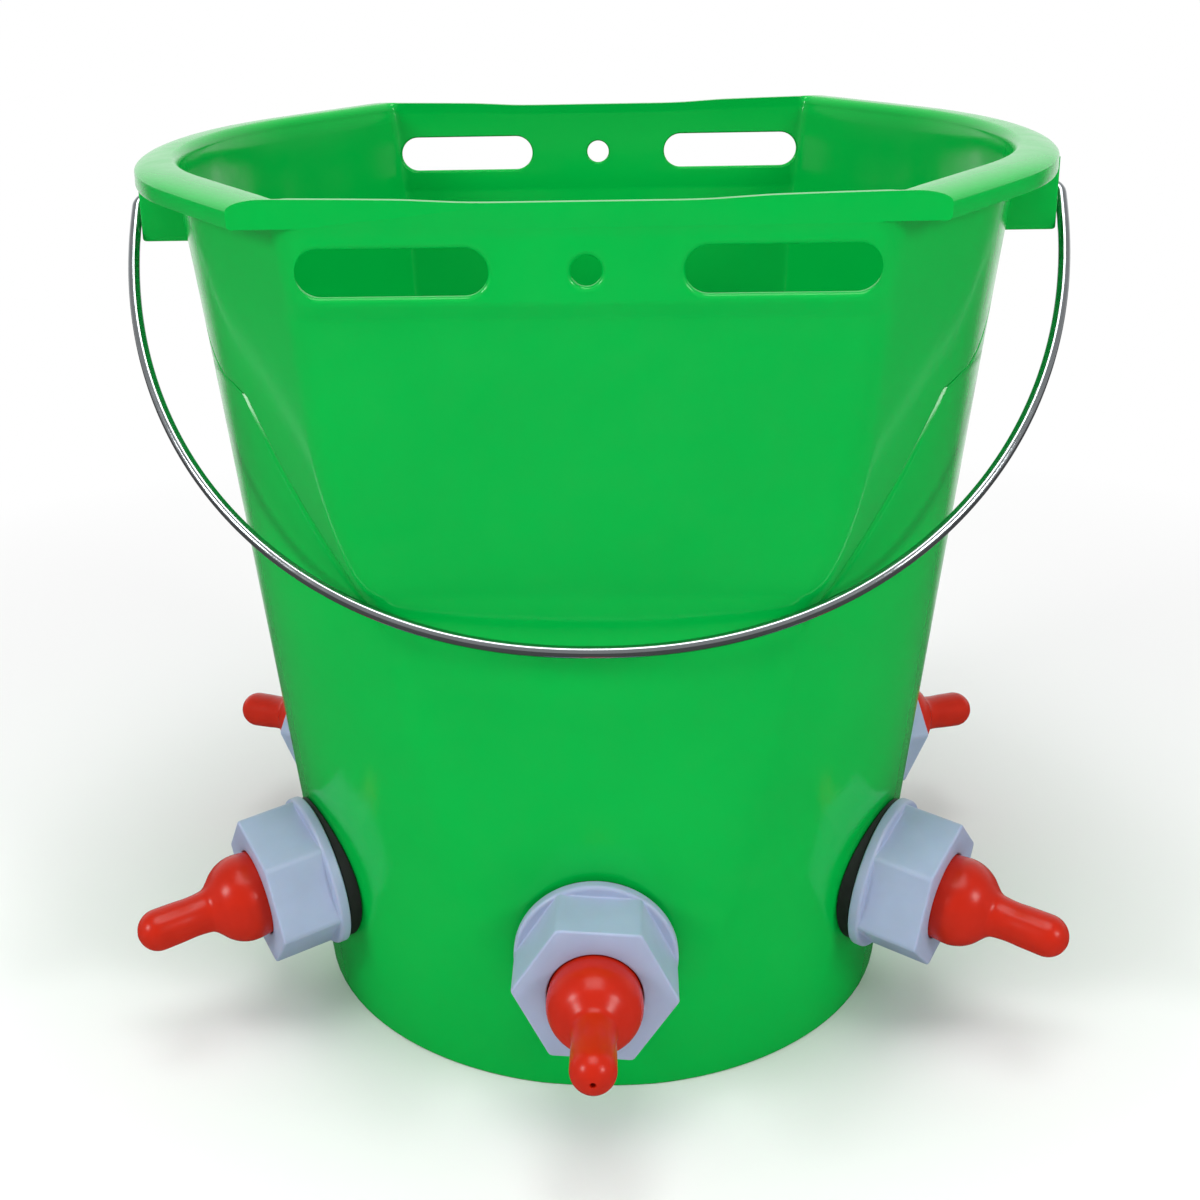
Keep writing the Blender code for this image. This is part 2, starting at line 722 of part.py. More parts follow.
def wall_seal(kind, helpers, finish):
    """Black rubber washer, moulded to the wall on its inner side."""
    name = "wall_seal_" + kind
    sag = SEAL_RADIUS * SEAL_RADIUS / (2 * cone_radius(0.0))
    bottom = -sag - GAP if kind == "cone" else -GAP
    ring = cylinder(name, SEAL_RADIUS, bottom, SEAL_HEIGHT, helpers)
    boolean(ring, cylinder(name + "_hole", WALL_HOLE_RADIUS, bottom - GAP, SEAL_HEIGHT + GAP, helpers))
    boolean(ring, wall_solid(name + "_wall", kind, -GAP, helpers))
    applied(ring)
    ring.data.materials.clear()
    ring.data.materials.append(finish)
    return smooth(ring).data


def arc(centre, radius, start, end, steps):
    """Profile points on an arc round a point of the axis, from start to end in degrees."""
    points = []
    for step in range(steps + 1):
        angle = math.radians(start + (end - start) * step / steps)
        points.append((radius * math.sin(angle), centre + radius * math.cos(angle)))
    return points


def rubber_teat(helpers, finish):
    """Hollow teat: clamped base flange, neck, round bulb and nipple with a small hole."""
    base = SPIGOT_LENGTH + GAP
    flange_top = NUT_FACE - NUT_LIP - GAP
    neck = NUT_HOLE_RADIUS - GAP
    flange = THREAD_RADIUS - GAP
    tip_centre = TEAT_LENGTH - NIPPLE_RADIUS
    join = math.degrees(math.asin(NIPPLE_RADIUS / TEAT_BULB_RADIUS))
    neck_angle = 180.0 - math.degrees(math.asin(neck / TEAT_BULB_RADIUS))
    hole_angle = math.degrees(math.asin(TEAT_HOLE_RADIUS / NIPPLE_RADIUS))
    outer = arc(tip_centre, NIPPLE_RADIUS, hole_angle, 90.0, 3)
    outer += arc(TEAT_BULB_CENTRE, TEAT_BULB_RADIUS, join, neck_angle, 5)
    outer += [(neck, flange_top), (flange, flange_top), (flange, base)]
    bore = NIPPLE_RADIUS - RUBBER_WALL
    bulb = TEAT_BULB_RADIUS - RUBBER_WALL
    inner_join = math.degrees(math.asin(bore / bulb))
    inner_neck = neck - RUBBER_WALL
    inner_angle = 180.0 - math.degrees(math.asin(inner_neck / bulb))
    inner_hole = math.degrees(math.asin(TEAT_HOLE_RADIUS / bore))
    inner = [(inner_neck, base)]
    inner += list(reversed(arc(TEAT_BULB_CENTRE, bulb, inner_join, inner_angle, 3)))
    inner += list(reversed(arc(tip_centre, bore, inner_hole, 90.0, 2)))
    teat = turned("rubber_teat", outer + inner, helpers, finish, TEAT_SEGMENTS)
    return smooth(applied(teat)).data


def valve_ball(helpers, finish):
    """Floating ball of the non-return valve."""
    solid = bmesh.new()
    bmesh.ops.create_uvsphere(solid, u_segments=12, v_segments=8, radius=BALL_RADIUS)
    ball = from_bmesh("valve_ball", solid, helpers, finish)
    ball.data.shade_smooth()
    return ball.data


def teat_units(group, helpers, finishes):
    """Place the six teat units round the bucket."""
    bodies = {kind: valve_body(kind, helpers, finishes["nut"]) for kind in ("flat", "cone")}
    seals = {kind: wall_seal(kind, helpers, finishes["seal"]) for kind in ("flat", "cone")}
    nut = cap_nut(helpers, finishes["nut"])
    teat = rubber_teat(helpers, finishes["teat"])
    ball = valve_ball(helpers, finishes["ball"])
    retainer = ball_retainer(helpers, finishes["ball"])
    for name, degrees, nut_turn in TEAT_PLACES:
        azimuth = math.radians(degrees)
        on_flat = is_on_flat(azimuth)
        kind = "flat" if on_flat else "cone"
        mount = bpy.data.objects.new("teat_mount_" + name, None)
        mount.matrix_world = unit_matrix(azimuth, on_flat)
        mount.empty_display_size = NUT_FACE
        group.objects.link(mount)
        pieces = (
            ("valve_body_" + name, bodies[kind], 0.0, 0.0),
            ("wall_seal_" + name, seals[kind], 0.0, 0.0),
            ("cap_nut_" + name, nut, 0.0, nut_turn),
            ("teat_" + name, teat, 0.0, 0.0),
            ("valve_ball_" + name, ball, ball_level(), 0.0),
            ("ball_retainer_" + name, retainer, 0.0, 45.0),
        )
        for piece_name, mesh, level, turn in pieces:
            piece = bpy.data.objects.new(piece_name, mesh)
            group.objects.link(piece)
            piece.parent = mount
            piece.location = (0.0, 0.0, level)
            piece.rotation_euler = (0.0, 0.0, math.radians(turn))


def main():
    clear_scene()
    group = collection("multi_teat_feeding_bucket")
    helpers = collection("cutters")
    finishes = {
        "bucket": material("green_polypropylene", (0.010, 0.440, 0.060), 0.30),
        "bail": material("zinc_plated_wire", (0.70, 0.71, 0.72), 0.30, 1.0),
        "nut": material("blue_grey_polypropylene", (0.42, 0.50, 0.60), 0.40),
        "teat": material("red_silicone_rubber", (0.62, 0.030, 0.010), 0.40),
        "seal": material("black_rubber", (0.015, 0.015, 0.015), 0.70),
        "ball": material("white_acetal", (0.80, 0.80, 0.78), 0.35),
    }
    bucket_shell(group, helpers, finishes["bucket"])
    wire_bail(group, finishes["bail"])
    teat_units(group, helpers, finishes)
    for helper in helpers.objects:
        cutter(helper)


main()
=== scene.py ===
"""Multi-teat feeding bucket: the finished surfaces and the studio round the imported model.

Every new piece is a surface worked out with numpy on a grid, in metres, in the frame's own axes:
-Y is the front panel, +Z is up, and the ground is at zero.
"""

import json
import math

import bpy
import numpy as np
from bpy.props import FloatProperty, FloatVectorProperty, PointerProperty, StringProperty
from mathutils import Matrix, Vector


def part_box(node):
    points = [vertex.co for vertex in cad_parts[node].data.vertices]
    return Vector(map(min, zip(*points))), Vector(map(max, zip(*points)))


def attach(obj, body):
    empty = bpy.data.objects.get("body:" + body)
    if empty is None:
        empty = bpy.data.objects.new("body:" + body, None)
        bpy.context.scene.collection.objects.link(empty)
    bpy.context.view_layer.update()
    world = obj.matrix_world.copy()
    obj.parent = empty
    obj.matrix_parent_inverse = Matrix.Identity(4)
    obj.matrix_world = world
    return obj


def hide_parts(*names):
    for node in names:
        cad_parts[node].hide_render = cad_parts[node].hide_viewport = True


bl_info = {
    "name": "Multi-teat feeding bucket",
    "version": (1, 0, 0),
    "blender": (4, 5, 0),
    "location": "View3D > Sidebar > Bucket",
    "description": "Dresses the packed feeding bucket with finished surfaces and a plain studio",
    "category": "Object",
}

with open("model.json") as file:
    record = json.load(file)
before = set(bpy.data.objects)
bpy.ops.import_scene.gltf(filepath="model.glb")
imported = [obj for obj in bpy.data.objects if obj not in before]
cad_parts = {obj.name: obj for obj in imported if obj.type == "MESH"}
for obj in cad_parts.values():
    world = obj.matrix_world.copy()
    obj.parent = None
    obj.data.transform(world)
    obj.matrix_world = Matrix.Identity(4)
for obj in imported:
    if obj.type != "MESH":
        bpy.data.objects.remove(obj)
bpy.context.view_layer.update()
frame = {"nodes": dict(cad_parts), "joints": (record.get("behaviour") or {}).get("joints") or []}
SHELL_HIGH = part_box("bucket_shell")[1]
BAIL_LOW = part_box("bail_handle")[0]

MM = 0.001
WIRE_UV = "along_wire"

# Turn of each teat unit's cap nut in degrees, by the unit's place round the base
NUT_TURNS = {
    "front": 26.5,
    "front_right": -11.0,
    "rear_right": 22.0,
    "rear": 5.0,
    "rear_left": -20.0,
    "front_left": 15.0,
}
PLACES = tuple(NUT_TURNS)
UNIT_LEVEL = 51.0 * MM

# Upper body of the bucket, as angles and slopes that the moulding keeps at any size
FACET_AZIMUTH = math.radians(56.3)
FACET_SLOPE = 0.1296
FACET_CURVATURE = 2.7
FACET_CURVE_START = 216 * MM
FACET_PROUD = 1.0 * MM
PANEL_SLOPE = 0.10
PANEL_CURVATURE = 1.0
SIDE_SINK = 0.6 * MM
FLAT_DRAFT = math.tan(math.radians(0.5))
HOOD_START = 150 * MM
HOOD_MERGE = 152 * MM
CREASE_ROUND = 3.0 * MM
PANEL_CORNER_ROUND = 6.0 * MM
FOLD_ROUND = 0.3 * MM
FOLD_GROOVE = 1.0 * MM
FOLD_GROOVE_WIDTH = 0.7 * MM
FOLD_FADE = 8.0 * MM
FOLD_TOP_FADE = 6.0 * MM
MOUTH_BLEND = math.radians(1.2)

# Outer step under the slots: the part of its height that rises straight, and the share that rises softly
STEEP_PART = 0.7
SOFT_SHARE = 0.2

# Top edge of a slotted panel: distance from its middle and how far it dips below the lip's crown
EDGE_ACROSS = np.array([0.0, 26.0, 32.0, 38.0, 46.0, 60.0, 72.0, 84.0]) * MM
EDGE_DIP = np.array([1.7, 1.7, 1.55, 1.2, 0.75, 0.42, 0.2, 0.0]) * MM

# Clearance that the solids keep between touching pieces
GAP = 0.3 * MM

# Light levels of the room, where 1 is the white of the backdrop
PLAIN_LEVEL = 0.32
ROOM_LEVEL = 0.45
WHITE = "#FFFFFF"
DIM_FLOOR = "#5E5E5E"

# Softboxes: name, place and width in metres, power in watts
SOFTBOXES = (
    ("key_left", (-1.5, -1.0, 1.0), 0.5, 15.0),
    ("key_right", (1.4, -1.15, 1.0), 0.5, 13.5),
    ("top", (0.0, -0.25, 1.9), 1.2, 23.0),
)


def length(name, description, millimetres):
    """A size for the sidebar, which shows it in metres."""
    return FloatProperty(
        name=name, description=description, default=millimetres * MM, unit="LENGTH", precision=4, min=0.0)


def angle(name, description, degrees):
    """An angle for the sidebar, given in degrees."""
    return FloatProperty(
        name=name, description=description, default=math.radians(degrees), subtype="ANGLE")


def colour(name, description, default):
    """An sRGB hex colour for the sidebar, as text."""
    return StringProperty(name=name, description=description, default=default)


class BucketSettings(bpy.types.PropertyGroup):
    """Sizes and colour of the moulded bucket."""

    base_radius: length("Base radius", "Radius of the round body at the ground", 97.0)
    rim_radius: length("Rim radius", "Radius of the round body at the rim, without the lip", 128.3)
    height: length("Height", "Height of the wall, without the lip's crown", 277.0)
    wall: length("Wall", "Thickness of the moulded wall", 2.2)
    floor: length("Floor", "Thickness of the floor", 2.5)
    foot_height: length("Foot height", "How far the floor stands off the ground", 3.0)
    foot_width: length("Foot width", "Width of the foot ring", 6.5)
    flat_depth: length("Lower flat", "Distance of the lower flats from the axis, at the ground", 97.8)
    panel_depth: length("Panel", "Distance of the slotted panels from the axis", 116.2)
    step_bottom: length("Step height", "Where the step under the slots starts", 246.5)
    step_height: length("Step rise", "Height of the rounded step under the slots", 6.0)
    step_depth: length("Step depth", "How far the slotted band stands proud", 2.2)
    lip_width: length("Lip width", "How far the rim lip stands out", 11.0)
    lip_depth: length("Lip depth", "Height of the rim lip's outer edge", 5.5)
    lip_crown: length("Lip crown", "How far the lip's bead rises above the wall's height", 2.1)
    mouth_round: length("Mouth round", "Width of the rounding at the mouth's inner edge", 2.8)
    slot_length: length("Slot length", "Length of a hanging slot", 49.4)
    slot_height: length("Slot height", "Height of a hanging slot", 12.3)
    slot_offset: length("Slot offset", "Distance of a slot's centre from the middle of the panel", 49.5)
    slot_level: length("Slot level", "Height of the slots' centres", 259.9)
    hole_radius: length("Hole radius", "Radius of the centre hole", 4.0)
    edge_round: length("Edge round", "Rounding of the slots and holes at the outer face", 1.3)
    plastic: colour("Plastic", "Colour of the bucket", "#00B143")


class BailSettings(bpy.types.PropertyGroup):
    """Sizes and colour of the wire bail and its ears."""

    wire_radius: length("Wire radius", "Half the wire's thickness", 1.8)
    half_width: length("Half width", "Half the distance between the two legs at the ears", 144.5)
    reach: length("Reach", "Length of the loop from the pivots to its lowest point", 155.0)
    squareness: FloatProperty(
        name="Squareness", description="Exponent of the loop's rounded outline", default=2.15)
    pivot_level: length("Pivot level", "Height of the pivots", 262.5)
    ear_face: length("Ear face", "Distance of an ear's outer face from the middle", SHELL_HIGH.x / MM)
    ear_half_width: length("Ear half width", "Half the width of an ear", 10.0)
    ear_drop: length("Ear drop", "How far an ear reaches below the pivot", 12.5)
    ear_plate: length("Ear plate", "Thickness of an ear's outer plate", 2.4)
    ear_web: length("Ear web", "Thickness of an ear's side walls", 2.2)
    zinc: colour("Zinc", "Colour of the plated wire", "#A3A8AB")


class TeatUnitSettings(bpy.types.PropertyGroup):
    """Sizes and colours of a teat unit."""

    thread_radius: length("Thread radius", "Outer radius of the spigot's thread", 16.5)
    thread_pitch: length("Thread pitch", "Distance between two turns of the 1 inch pipe thread", 2.309)
    thread_depth: length("Thread depth", "Depth of the thread", 0.9)
    across_flats: length("Across flats", "Width of the cap nut across its flats", 42.5)
    corner_radius: length("Corner radius", "Radius of the cap nut's corners and flange", 24.6)
    nut_face: length("Nut face", "Distance of the nut's outer face from the wall", 24.6)
    flange_height: length("Nut flange", "Thickness of the nut's round flange", 3.7)
    nut_hole: length("Nut hole", "Radius of the hole in the nut's face", 14.0)
    nut_lip: length("Nut lip", "Thickness of the nut's face", 3.7)
    seal_height: length("Seal height", "Thickness of the black washer", 1.8)
    seal_radius: length("Seal radius", "Radius of the black washer", 23.6)
    saddle_radius: length("Saddle radius", "Radius of the spigot's inner flange", 22.0)
    saddle_face: length("Saddle face", "Distance of the inner flange's face behind the wall", 8.0)
    ball_radius: length("Ball radius", "Radius of the valve ball", 5.0)
    inlet_radius: length("Inlet radius", "Radius of the valve's inlet", 3.0)
    teat_length: length("Teat length", "Distance of the teat's tip from the wall", 64.0)
    teat_bulb: length("Teat bulb", "Largest radius of the teat's bulb", 14.1)
    nipple: length("Nipple", "Radius of the nipple", 6.6)
    plastic: colour("Nut plastic", "Colour of the nuts and spigots", "#A2AFCC")
    rubber: colour("Teat rubber", "Colour of the teats", "#BE220C")


class StageSettings(bpy.types.PropertyGroup):
    """Camera and studio."""

    lens: FloatProperty(name="Lens", description="Focal length in millimetres", default=51.79)
    place: FloatVectorProperty(
        name="Camera", description="Camera position", default=(9.56 * MM, -545.71 * MM, 345.09 * MM))
    yaw: angle("Yaw", "Camera heading from +Y", -3.0)
    pitch: angle("Pitch", "Camera's tilt down", 19.05)
    roll: angle("Roll", "Camera's turn about its own axis", -1.31)
    shift: FloatVectorProperty(
        name="Shift", description="Lens shift of the cropped photograph", size=2, default=(0.05, -0.075))
    floor: colour("Floor", "Colour of the floor", "#F4F4F4")


def linear(hex_colour):
    """sRGB hex text to linear red, green, blue and alpha."""
    channels = np.array([int(hex_colour[i:i + 2], 16) / 255 for i in (1, 3, 5)])
    low = channels / 12.92
    high = ((channels + 0.055) / 1.055) ** 2.4
    return (*np.where(channels <= 0.04045, low, high), 1.0)


def add_node(tree, kind, values=None, links=None, **settings):
    """Add a shader node: settings are its properties, values its sockets, links its incoming sockets."""
    node = tree.nodes.new("ShaderNode" + kind)
    for name, value in settings.items():
        setattr(node, name, value)
    for name, value in (values or {}).items():
        node.inputs[name].default_value = value
    for name, source in (links or {}).items():
        tree.links.new(source, node.inputs[name])
    return node


def new_material(name):
    """An empty node material with its output node."""
    material = bpy.data.materials.new(name)
    material.use_nodes = True
    tree = material.node_tree
    tree.nodes.clear()
    return material, tree, add_node(tree, "OutputMaterial")


def object_noise(tree, place, scale, detail):
    """Noise of a real size in metres, fixed to the object."""
    values = {"Scale": 1 / scale, "Detail": detail}
    return add_node(tree, "TexNoise", values, {"Vector": place.outputs["Object"]}).outputs["Fac"]


def ranged(tree, value, low, high, start=0.0, end=1.0, **settings):
    """A value from low to high in a node tree, carried over to the range from start to end."""
    limits = {"From Min": low, "From Max": high, "To Min": start, "To Max": end}
    return add_node(tree, "MapRange", limits, {"Value": value}, **settings).outputs["Result"]


def combined(tree, operation, first, second):
    """Two values of a node tree put together by a maths operation."""
    return add_node(tree, "Math", None, {0: first, 1: second}, operation=operation).outputs["Value"]


def mixed(tree, share, first, second):
    """Two shaders of a node tree, mixed by a share of the second one."""
    return add_node(tree, "MixShader", None, {0: share, 1: first, 2: second}).outputs["Shader"]


def speckled_colour(tree, base, scale, low, high):
    """A base colour made a little darker and lighter by soft noise of a real size in metres."""
    place = add_node(tree, "TexCoord")
    shade = ranged(tree, object_noise(tree, place, scale, 3.0), 0.3, 0.7, low, high)
    tint = add_node(tree, "HueSaturation", {"Color": linear(base)}, {"Value": shade})
    return place, tint.outputs["Color"]


def raised(tree, height, strength, distance):
    """A surface's normal, tilted by a height value."""
    values = {"Strength": strength, "Distance": distance}
    return add_node(tree, "Bump", values, {"Height": height}).outputs["Normal"]


def use_principled(tree, output, values, links):
    """Send a Principled shader with these values and links to the output."""
    shader = add_node(tree, "BsdfPrincipled", values, links)
    tree.links.new(shader.outputs["BSDF"], output.inputs["Surface"])


def moulded(name, base, clouds, grain, values, scuffs=None):
    """A moulded material, whose marks all have real sizes in metres.

    clouds holds the size and the darkest and lightest share of the colour, and grain the size, strength
    and depth of the bump. scuffs, where there are any, holds their size, lowest and highest roughness.
    """
    material, tree, output = new_material(name)
    place, tint = speckled_colour(tree, base, *clouds)
    grain_size, strength, depth = grain
    bump = raised(tree, object_noise(tree, place, grain_size, 4.0), strength, depth)
    links = {"Base Color": tint, "Normal": bump}
    if scuffs:
        scuff_size, low, high = scuffs
        links["Roughness"] = ranged(tree, object_noise(tree, place, scuff_size, 6.0), 0.35, 0.75, low, high)
    use_principled(tree, output, values, links)
    return material


def moulded_polypropylene(base):
    """Glossy polypropylene: clean colour, soft flow clouds, a faint orange peel, scuffs in the gloss."""
    return moulded("moulded_green_polypropylene", base, (60 * MM, 0.96, 1.03), (1.6 * MM, 0.03, 0.2 * MM),
                   {"IOR": 1.49, "Specular IOR Level": 0.28}, scuffs=(9 * MM, 0.14, 0.22))


def nut_polypropylene(base):
    """Satin grey-blue polypropylene of the nuts and spigots, made once: slightly milky, finely eroded."""
    name = "moulded_grey_blue_polypropylene"
    return bpy.data.materials.get(name) or moulded(
        name, base, (12 * MM, 0.96, 1.04), (0.7 * MM, 0.10, 0.1 * MM),
        {"IOR": 1.49, "Roughness": 0.38, "Subsurface Weight": 0.15, "Subsurface Scale": 2 * MM})


def teat_rubber(base):
    """Red moulded teat rubber: even colour, soft gloss with small clear highlights."""
    return moulded("moulded_red_rubber", base, (8 * MM, 0.94, 1.03), (0.9 * MM, 0.05, 0.1 * MM),
                   {"IOR": 1.52, "Roughness": 0.27, "Specular IOR Level": 0.2})


def washer_rubber():
    """Black EPDM washer: matt, with a fine cut grain."""
    return moulded("black_epdm_rubber", "#1B1B1C", (3 * MM, 0.8, 1.2), (0.5 * MM, 0.2, 0.1 * MM),
                   {"IOR": 1.5, "Roughness": 0.7})


def zinc_plated_wire(base):
    """Bright zinc-plated drawn steel: faint draw lines along the wire and dull patches."""
    material, tree, output = new_material("zinc_plated_steel_wire")
    along = add_node(tree, "UVMap", uv_map=WIRE_UV)
    # U runs round the wire and V along it, in millimetres, so the lines are 0.3 mm wide and 30 mm long
    stretch = add_node(tree, "Mapping", {"Scale": (3.0, 0.03, 1.0)}, {"Vector": along.outputs["UV"]})
    lines = add_node(tree, "TexNoise", {"Scale": 1.0, "Detail": 2.0},
                     {"Vector": stretch.outputs["Vector"]})
    place = add_node(tree, "TexCoord")
    dull = ranged(tree, object_noise(tree, place, 6 * MM, 4.0), 0.35, 0.7, 0.10, 0.22)
    drawn = raised(tree, lines.outputs["Fac"], 0.12, 0.05 * MM)
    values = {"Base Color": linear(base), "Metallic": 1.0}
    use_principled(tree, output, values, {"Roughness": dull, "Normal": drawn})
    return material


def white_acetal():
    """White acetal of the ball and its retainer: smooth and slightly waxy."""
    return moulded("moulded_white_acetal", "#E8E6DF", (4 * MM, 0.97, 1.02), (0.4 * MM, 0.05, 0.05 * MM),
                   {"IOR": 1.48, "Roughness": 0.3, "Subsurface Weight": 0.1})


def together(*parts):
    """Numbers and arrays side by side along a new last axis, as x, y and z are in points."""
    return np.stack(np.broadcast_arrays(*parts), axis=-1)


def grid_mesh(name, points, closed_rows=False, uv=None):
    """A mesh from points[row, column], whose columns close into a ring.

    Rows close into a ring too if closed_rows is set, as on a torus. Otherwise a point in the middle of the
    first and of the last ring closes the ends. Faces point outwards where a column's turn and the rows'
    direction follow the right-hand rule.
    """
    rows, columns, _ = points.shape
    index = np.arange(rows * columns).reshape(rows, columns)
    lower = index if closed_rows else index[:-1]
    upper = np.roll(index, -1, axis=0) if closed_rows else index[1:]
    corners = [lower, np.roll(lower, -1, axis=1), np.roll(upper, -1, axis=1), upper]
    vertices = points.reshape(-1, 3)
    faces = together(*corners).reshape(-1, 4).tolist()
    if not closed_rows:
        ends = np.array([points[0].mean(axis=0), points[-1].mean(axis=0)])
        vertices = np.vstack([vertices, ends])
        first = rows * columns
        bottom = together(np.roll(index[0], -1), index[0], first)
        top = together(index[-1], np.roll(index[-1], -1), first + 1)
        faces += bottom.tolist() + top.tolist()
    mesh = bpy.data.meshes.new(name)
    mesh.from_pydata(vertices, [], faces)
    if uv is not None:
        corner = np.zeros(len(mesh.loops), dtype=np.int32)
        mesh.loops.foreach_get("vertex_index", corner)
        coordinates = np.vstack([uv.reshape(-1, 2), np.zeros((2, 2))])[corner]
        mesh.uv_layers.new(name=WIRE_UV).data.foreach_set("uv", coordinates.ravel())
    return mesh


def linked(name, data):
    """A new object that shows a mesh, a lamp or a camera in the scene."""
    made = bpy.data.objects.new(name, data)
    bpy.context.scene.collection.objects.link(made)
    return made


def add_piece(name, mesh, material, body, replaced, sharp=35.0):
    """Link a finished mesh as a smooth-shaded piece that rides on a body and replaces CAD nodes."""
    piece = linked(name, mesh)
    mesh.materials.append(material)
    mesh.shade_smooth()
    mesh.set_sharp_from_angle(angle=math.radians(sharp))
    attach(piece, body)
    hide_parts(*replaced)


def transformed(points, matrix):
    """Points of a grid taken through a 4x4 matrix."""
    place = np.array(matrix)
    return points @ place[:3, :3].T + place[:3, 3]


def full_turn(count):
    """Angles all the way round, without the last one, which would be the first again."""
    return np.linspace(0.0, math.tau, count, endpoint=False)


def quarter_round(count, start=0.0):
    """Steps along a quarter circle of radius 1: from 1 down to 0 one way, from 0 up to 1 the other way."""
    turn = np.linspace(start, math.pi / 2, count)
    return np.stack([1 - np.sin(turn), 1 - np.cos(turn)])


def ring_points(turn, radius, level):
    """Points round the local Z axis at a turn, a radius and a level."""
    return together(radius * np.cos(turn), radius * np.sin(turn), level)


def smooth_min(a, b, width):
    """The lower of two values, with a rounded join as wide as width."""
    share = np.clip(0.5 + 0.5 * (b - a) / width, 0.0, 1.0)
    return b + (a - b) * share - width * share * (1 - share)


def smooth_max(a, b, width):
    """The higher of two values, with a rounded join as wide as width."""
    return -smooth_min(-a, -b, width)


def smooth_step(value):
    """0 below zero, 1 above one, and an S-shaped rise between them."""
    share = np.clip(value, 0.0, 1.0)
    return share * share * (3 - 2 * share)


def cone_radius(size, level, inset):
    """Radius of the round body: a straight taper, moved inwards by inset along its normal."""
    taper = (size.rim_radius - size.base_radius) / size.height
    return size.base_radius + taper * level - inset * math.hypot(1.0, taper)


def front_distance(size, level, inset):
    """Distance of the upper panel from the axis: slotted band, S-shaped step, then a curved run-in.

    Inside the wall the step is spread over the whole band, so that the inner face runs down plain.
    """
    below = np.maximum(size.step_bottom - level, 0.0)
    rise = size.step_height if inset == 0 else size.height - size.step_bottom
    share = (size.step_bottom + rise - level) / rise
    if inset == 0:
        steep = np.clip((share - 0.5) / STEEP_PART + 0.5, 0.0, 1.0)
        step = size.step_depth * (SOFT_SHARE * smooth_step(share) + (1 - SOFT_SHARE) * steep)
    else:
        step = size.step_depth * smooth_step(share)
    return size.panel_depth - step - PANEL_SLOPE * below - PANEL_CURVATURE * below * below - inset


def facet_distance(size, level, inset):
    """Distance of a corner facet from the axis: a straight slope that curves in below."""
    below = np.maximum(FACET_CURVE_START - level, 0.0)
    top = size.rim_radius + FACET_PROUD
    return top - FACET_SLOPE * (size.height - level) - FACET_CURVATURE * below * below - inset


def hood_radius(size, azimuth, level, inset):
    """Radius of the hood's side: the facet's plane up to its normal, then an arc that sinks in the cone."""
    distance = facet_distance(size, level, inset)
    facet = distance / np.cos(np.minimum(azimuth, FACET_AZIMUTH) - FACET_AZIMUTH)
    sunk = np.minimum(distance, cone_radius(size, level, inset)) - SIDE_SINK
    share = np.clip((azimuth - FACET_AZIMUTH) / (math.pi / 2 - FACET_AZIMUTH), 0.0, 1.0)
    return np.where(azimuth <= FACET_AZIMUTH, facet, distance - (distance - sunk) * share * share)


def wall_radius(size, azimuth, level, inset):
    """Radius of the wall: the cone cut by the lower flats, joined with the hood cut by the panels."""
    facing = np.maximum(np.cos(azimuth), 1e-3)
    flat = (size.flat_depth + FLAT_DRAFT * level - inset) / facing
    body = smooth_min(cone_radius(size, level, inset), flat, CREASE_ROUND)
    panel = front_distance(size, level, inset) / facing
    corner = PANEL_CORNER_ROUND if inset == 0 else 0.5 * CREASE_ROUND
    hood = smooth_min(panel, hood_radius(size, azimuth, level, inset), corner)
    sunk = np.where(level > HOOD_START, hood, 0.0)
    return smooth_max(body, sunk, FOLD_ROUND)


def fold_groove(size, azimuth, level):
    """Depth of the narrow valley along the hood's fold: a bell curve across it that fades at both ends."""
    fold = crease_azimuths(size, np.ravel(level))[1].reshape(np.shape(level))
    away = (azimuth - fold) * cone_radius(size, level, 0.0) / FOLD_GROOVE_WIDTH
    above_start = smooth_step((level - HOOD_MERGE) / FOLD_FADE)
    below_rim = smooth_step((size.height - FOLD_FADE - level) / FOLD_TOP_FADE)
    return FOLD_GROOVE * np.exp(-away ** 2) * above_start * below_rim


def crease_azimuths(size, level):
    """Azimuths of the panel's edge and of the fold where the hood leaves the cone, for each level."""
    radius = cone_radius(size, level, 0.0)
    flat = size.flat_depth + FLAT_DRAFT * level
    front = np.maximum(flat, np.where(level > HOOD_START, front_distance(size, level, 0.0), 0.0))
    facet = facet_distance(size, level, 0.0)
    widest = math.cos(math.radians(6.0))
    flat_edge = np.arccos(np.clip(flat / radius, 0.0, widest))
    across = (facet - front * math.cos(FACET_AZIMUTH)) / math.sin(FACET_AZIMUTH)
    panel_edge = np.arctan2(across, front)
    straight_fold = FACET_AZIMUTH - np.arccos(np.clip(facet / radius, -1.0, 1.0))
    proud = np.maximum(facet - radius, 0.0)
    curved_fold = FACET_AZIMUTH + (math.pi / 2 - FACET_AZIMUTH) * np.sqrt(proud / (proud + SIDE_SINK))
    fold = np.where(facet < radius, straight_fold, curved_fold)
    hooded = level > HOOD_MERGE
    edge = np.where(hooded, panel_edge, flat_edge)
    # Below the hood the two lines open out towards the ground, so that the columns stay apart
    spread = math.radians(0.8) + np.maximum(HOOD_MERGE - level, 0.0) / HOOD_MERGE * math.radians(14.0)
    return edge, np.maximum(np.where(hooded, fold, edge), edge + spread)


def ring_azimuths(size, level):
    """Azimuths of a row's points, crowded at the creases: rows by columns, all the way round."""
    edge, fold = (line[:, None] for line in crease_azimuths(size, level))
    start = np.linspace(0.0, 1.0, 26, endpoint=False)
    end = np.linspace(0.0, 1.0, 25)
    first = edge * (1 - (1 - start) ** 2.0)
    second = edge + (fold - edge) * (0.5 - 0.5 * np.cos(math.pi * start))
    third = fold + (math.pi / 2 - fold) * end ** 1.6
    quarter = np.hstack([first, second, third])
    half = np.hstack([quarter, math.pi - quarter[:, -2::-1]])
    return np.hstack([half, math.tau - half[:, -2:0:-1]])


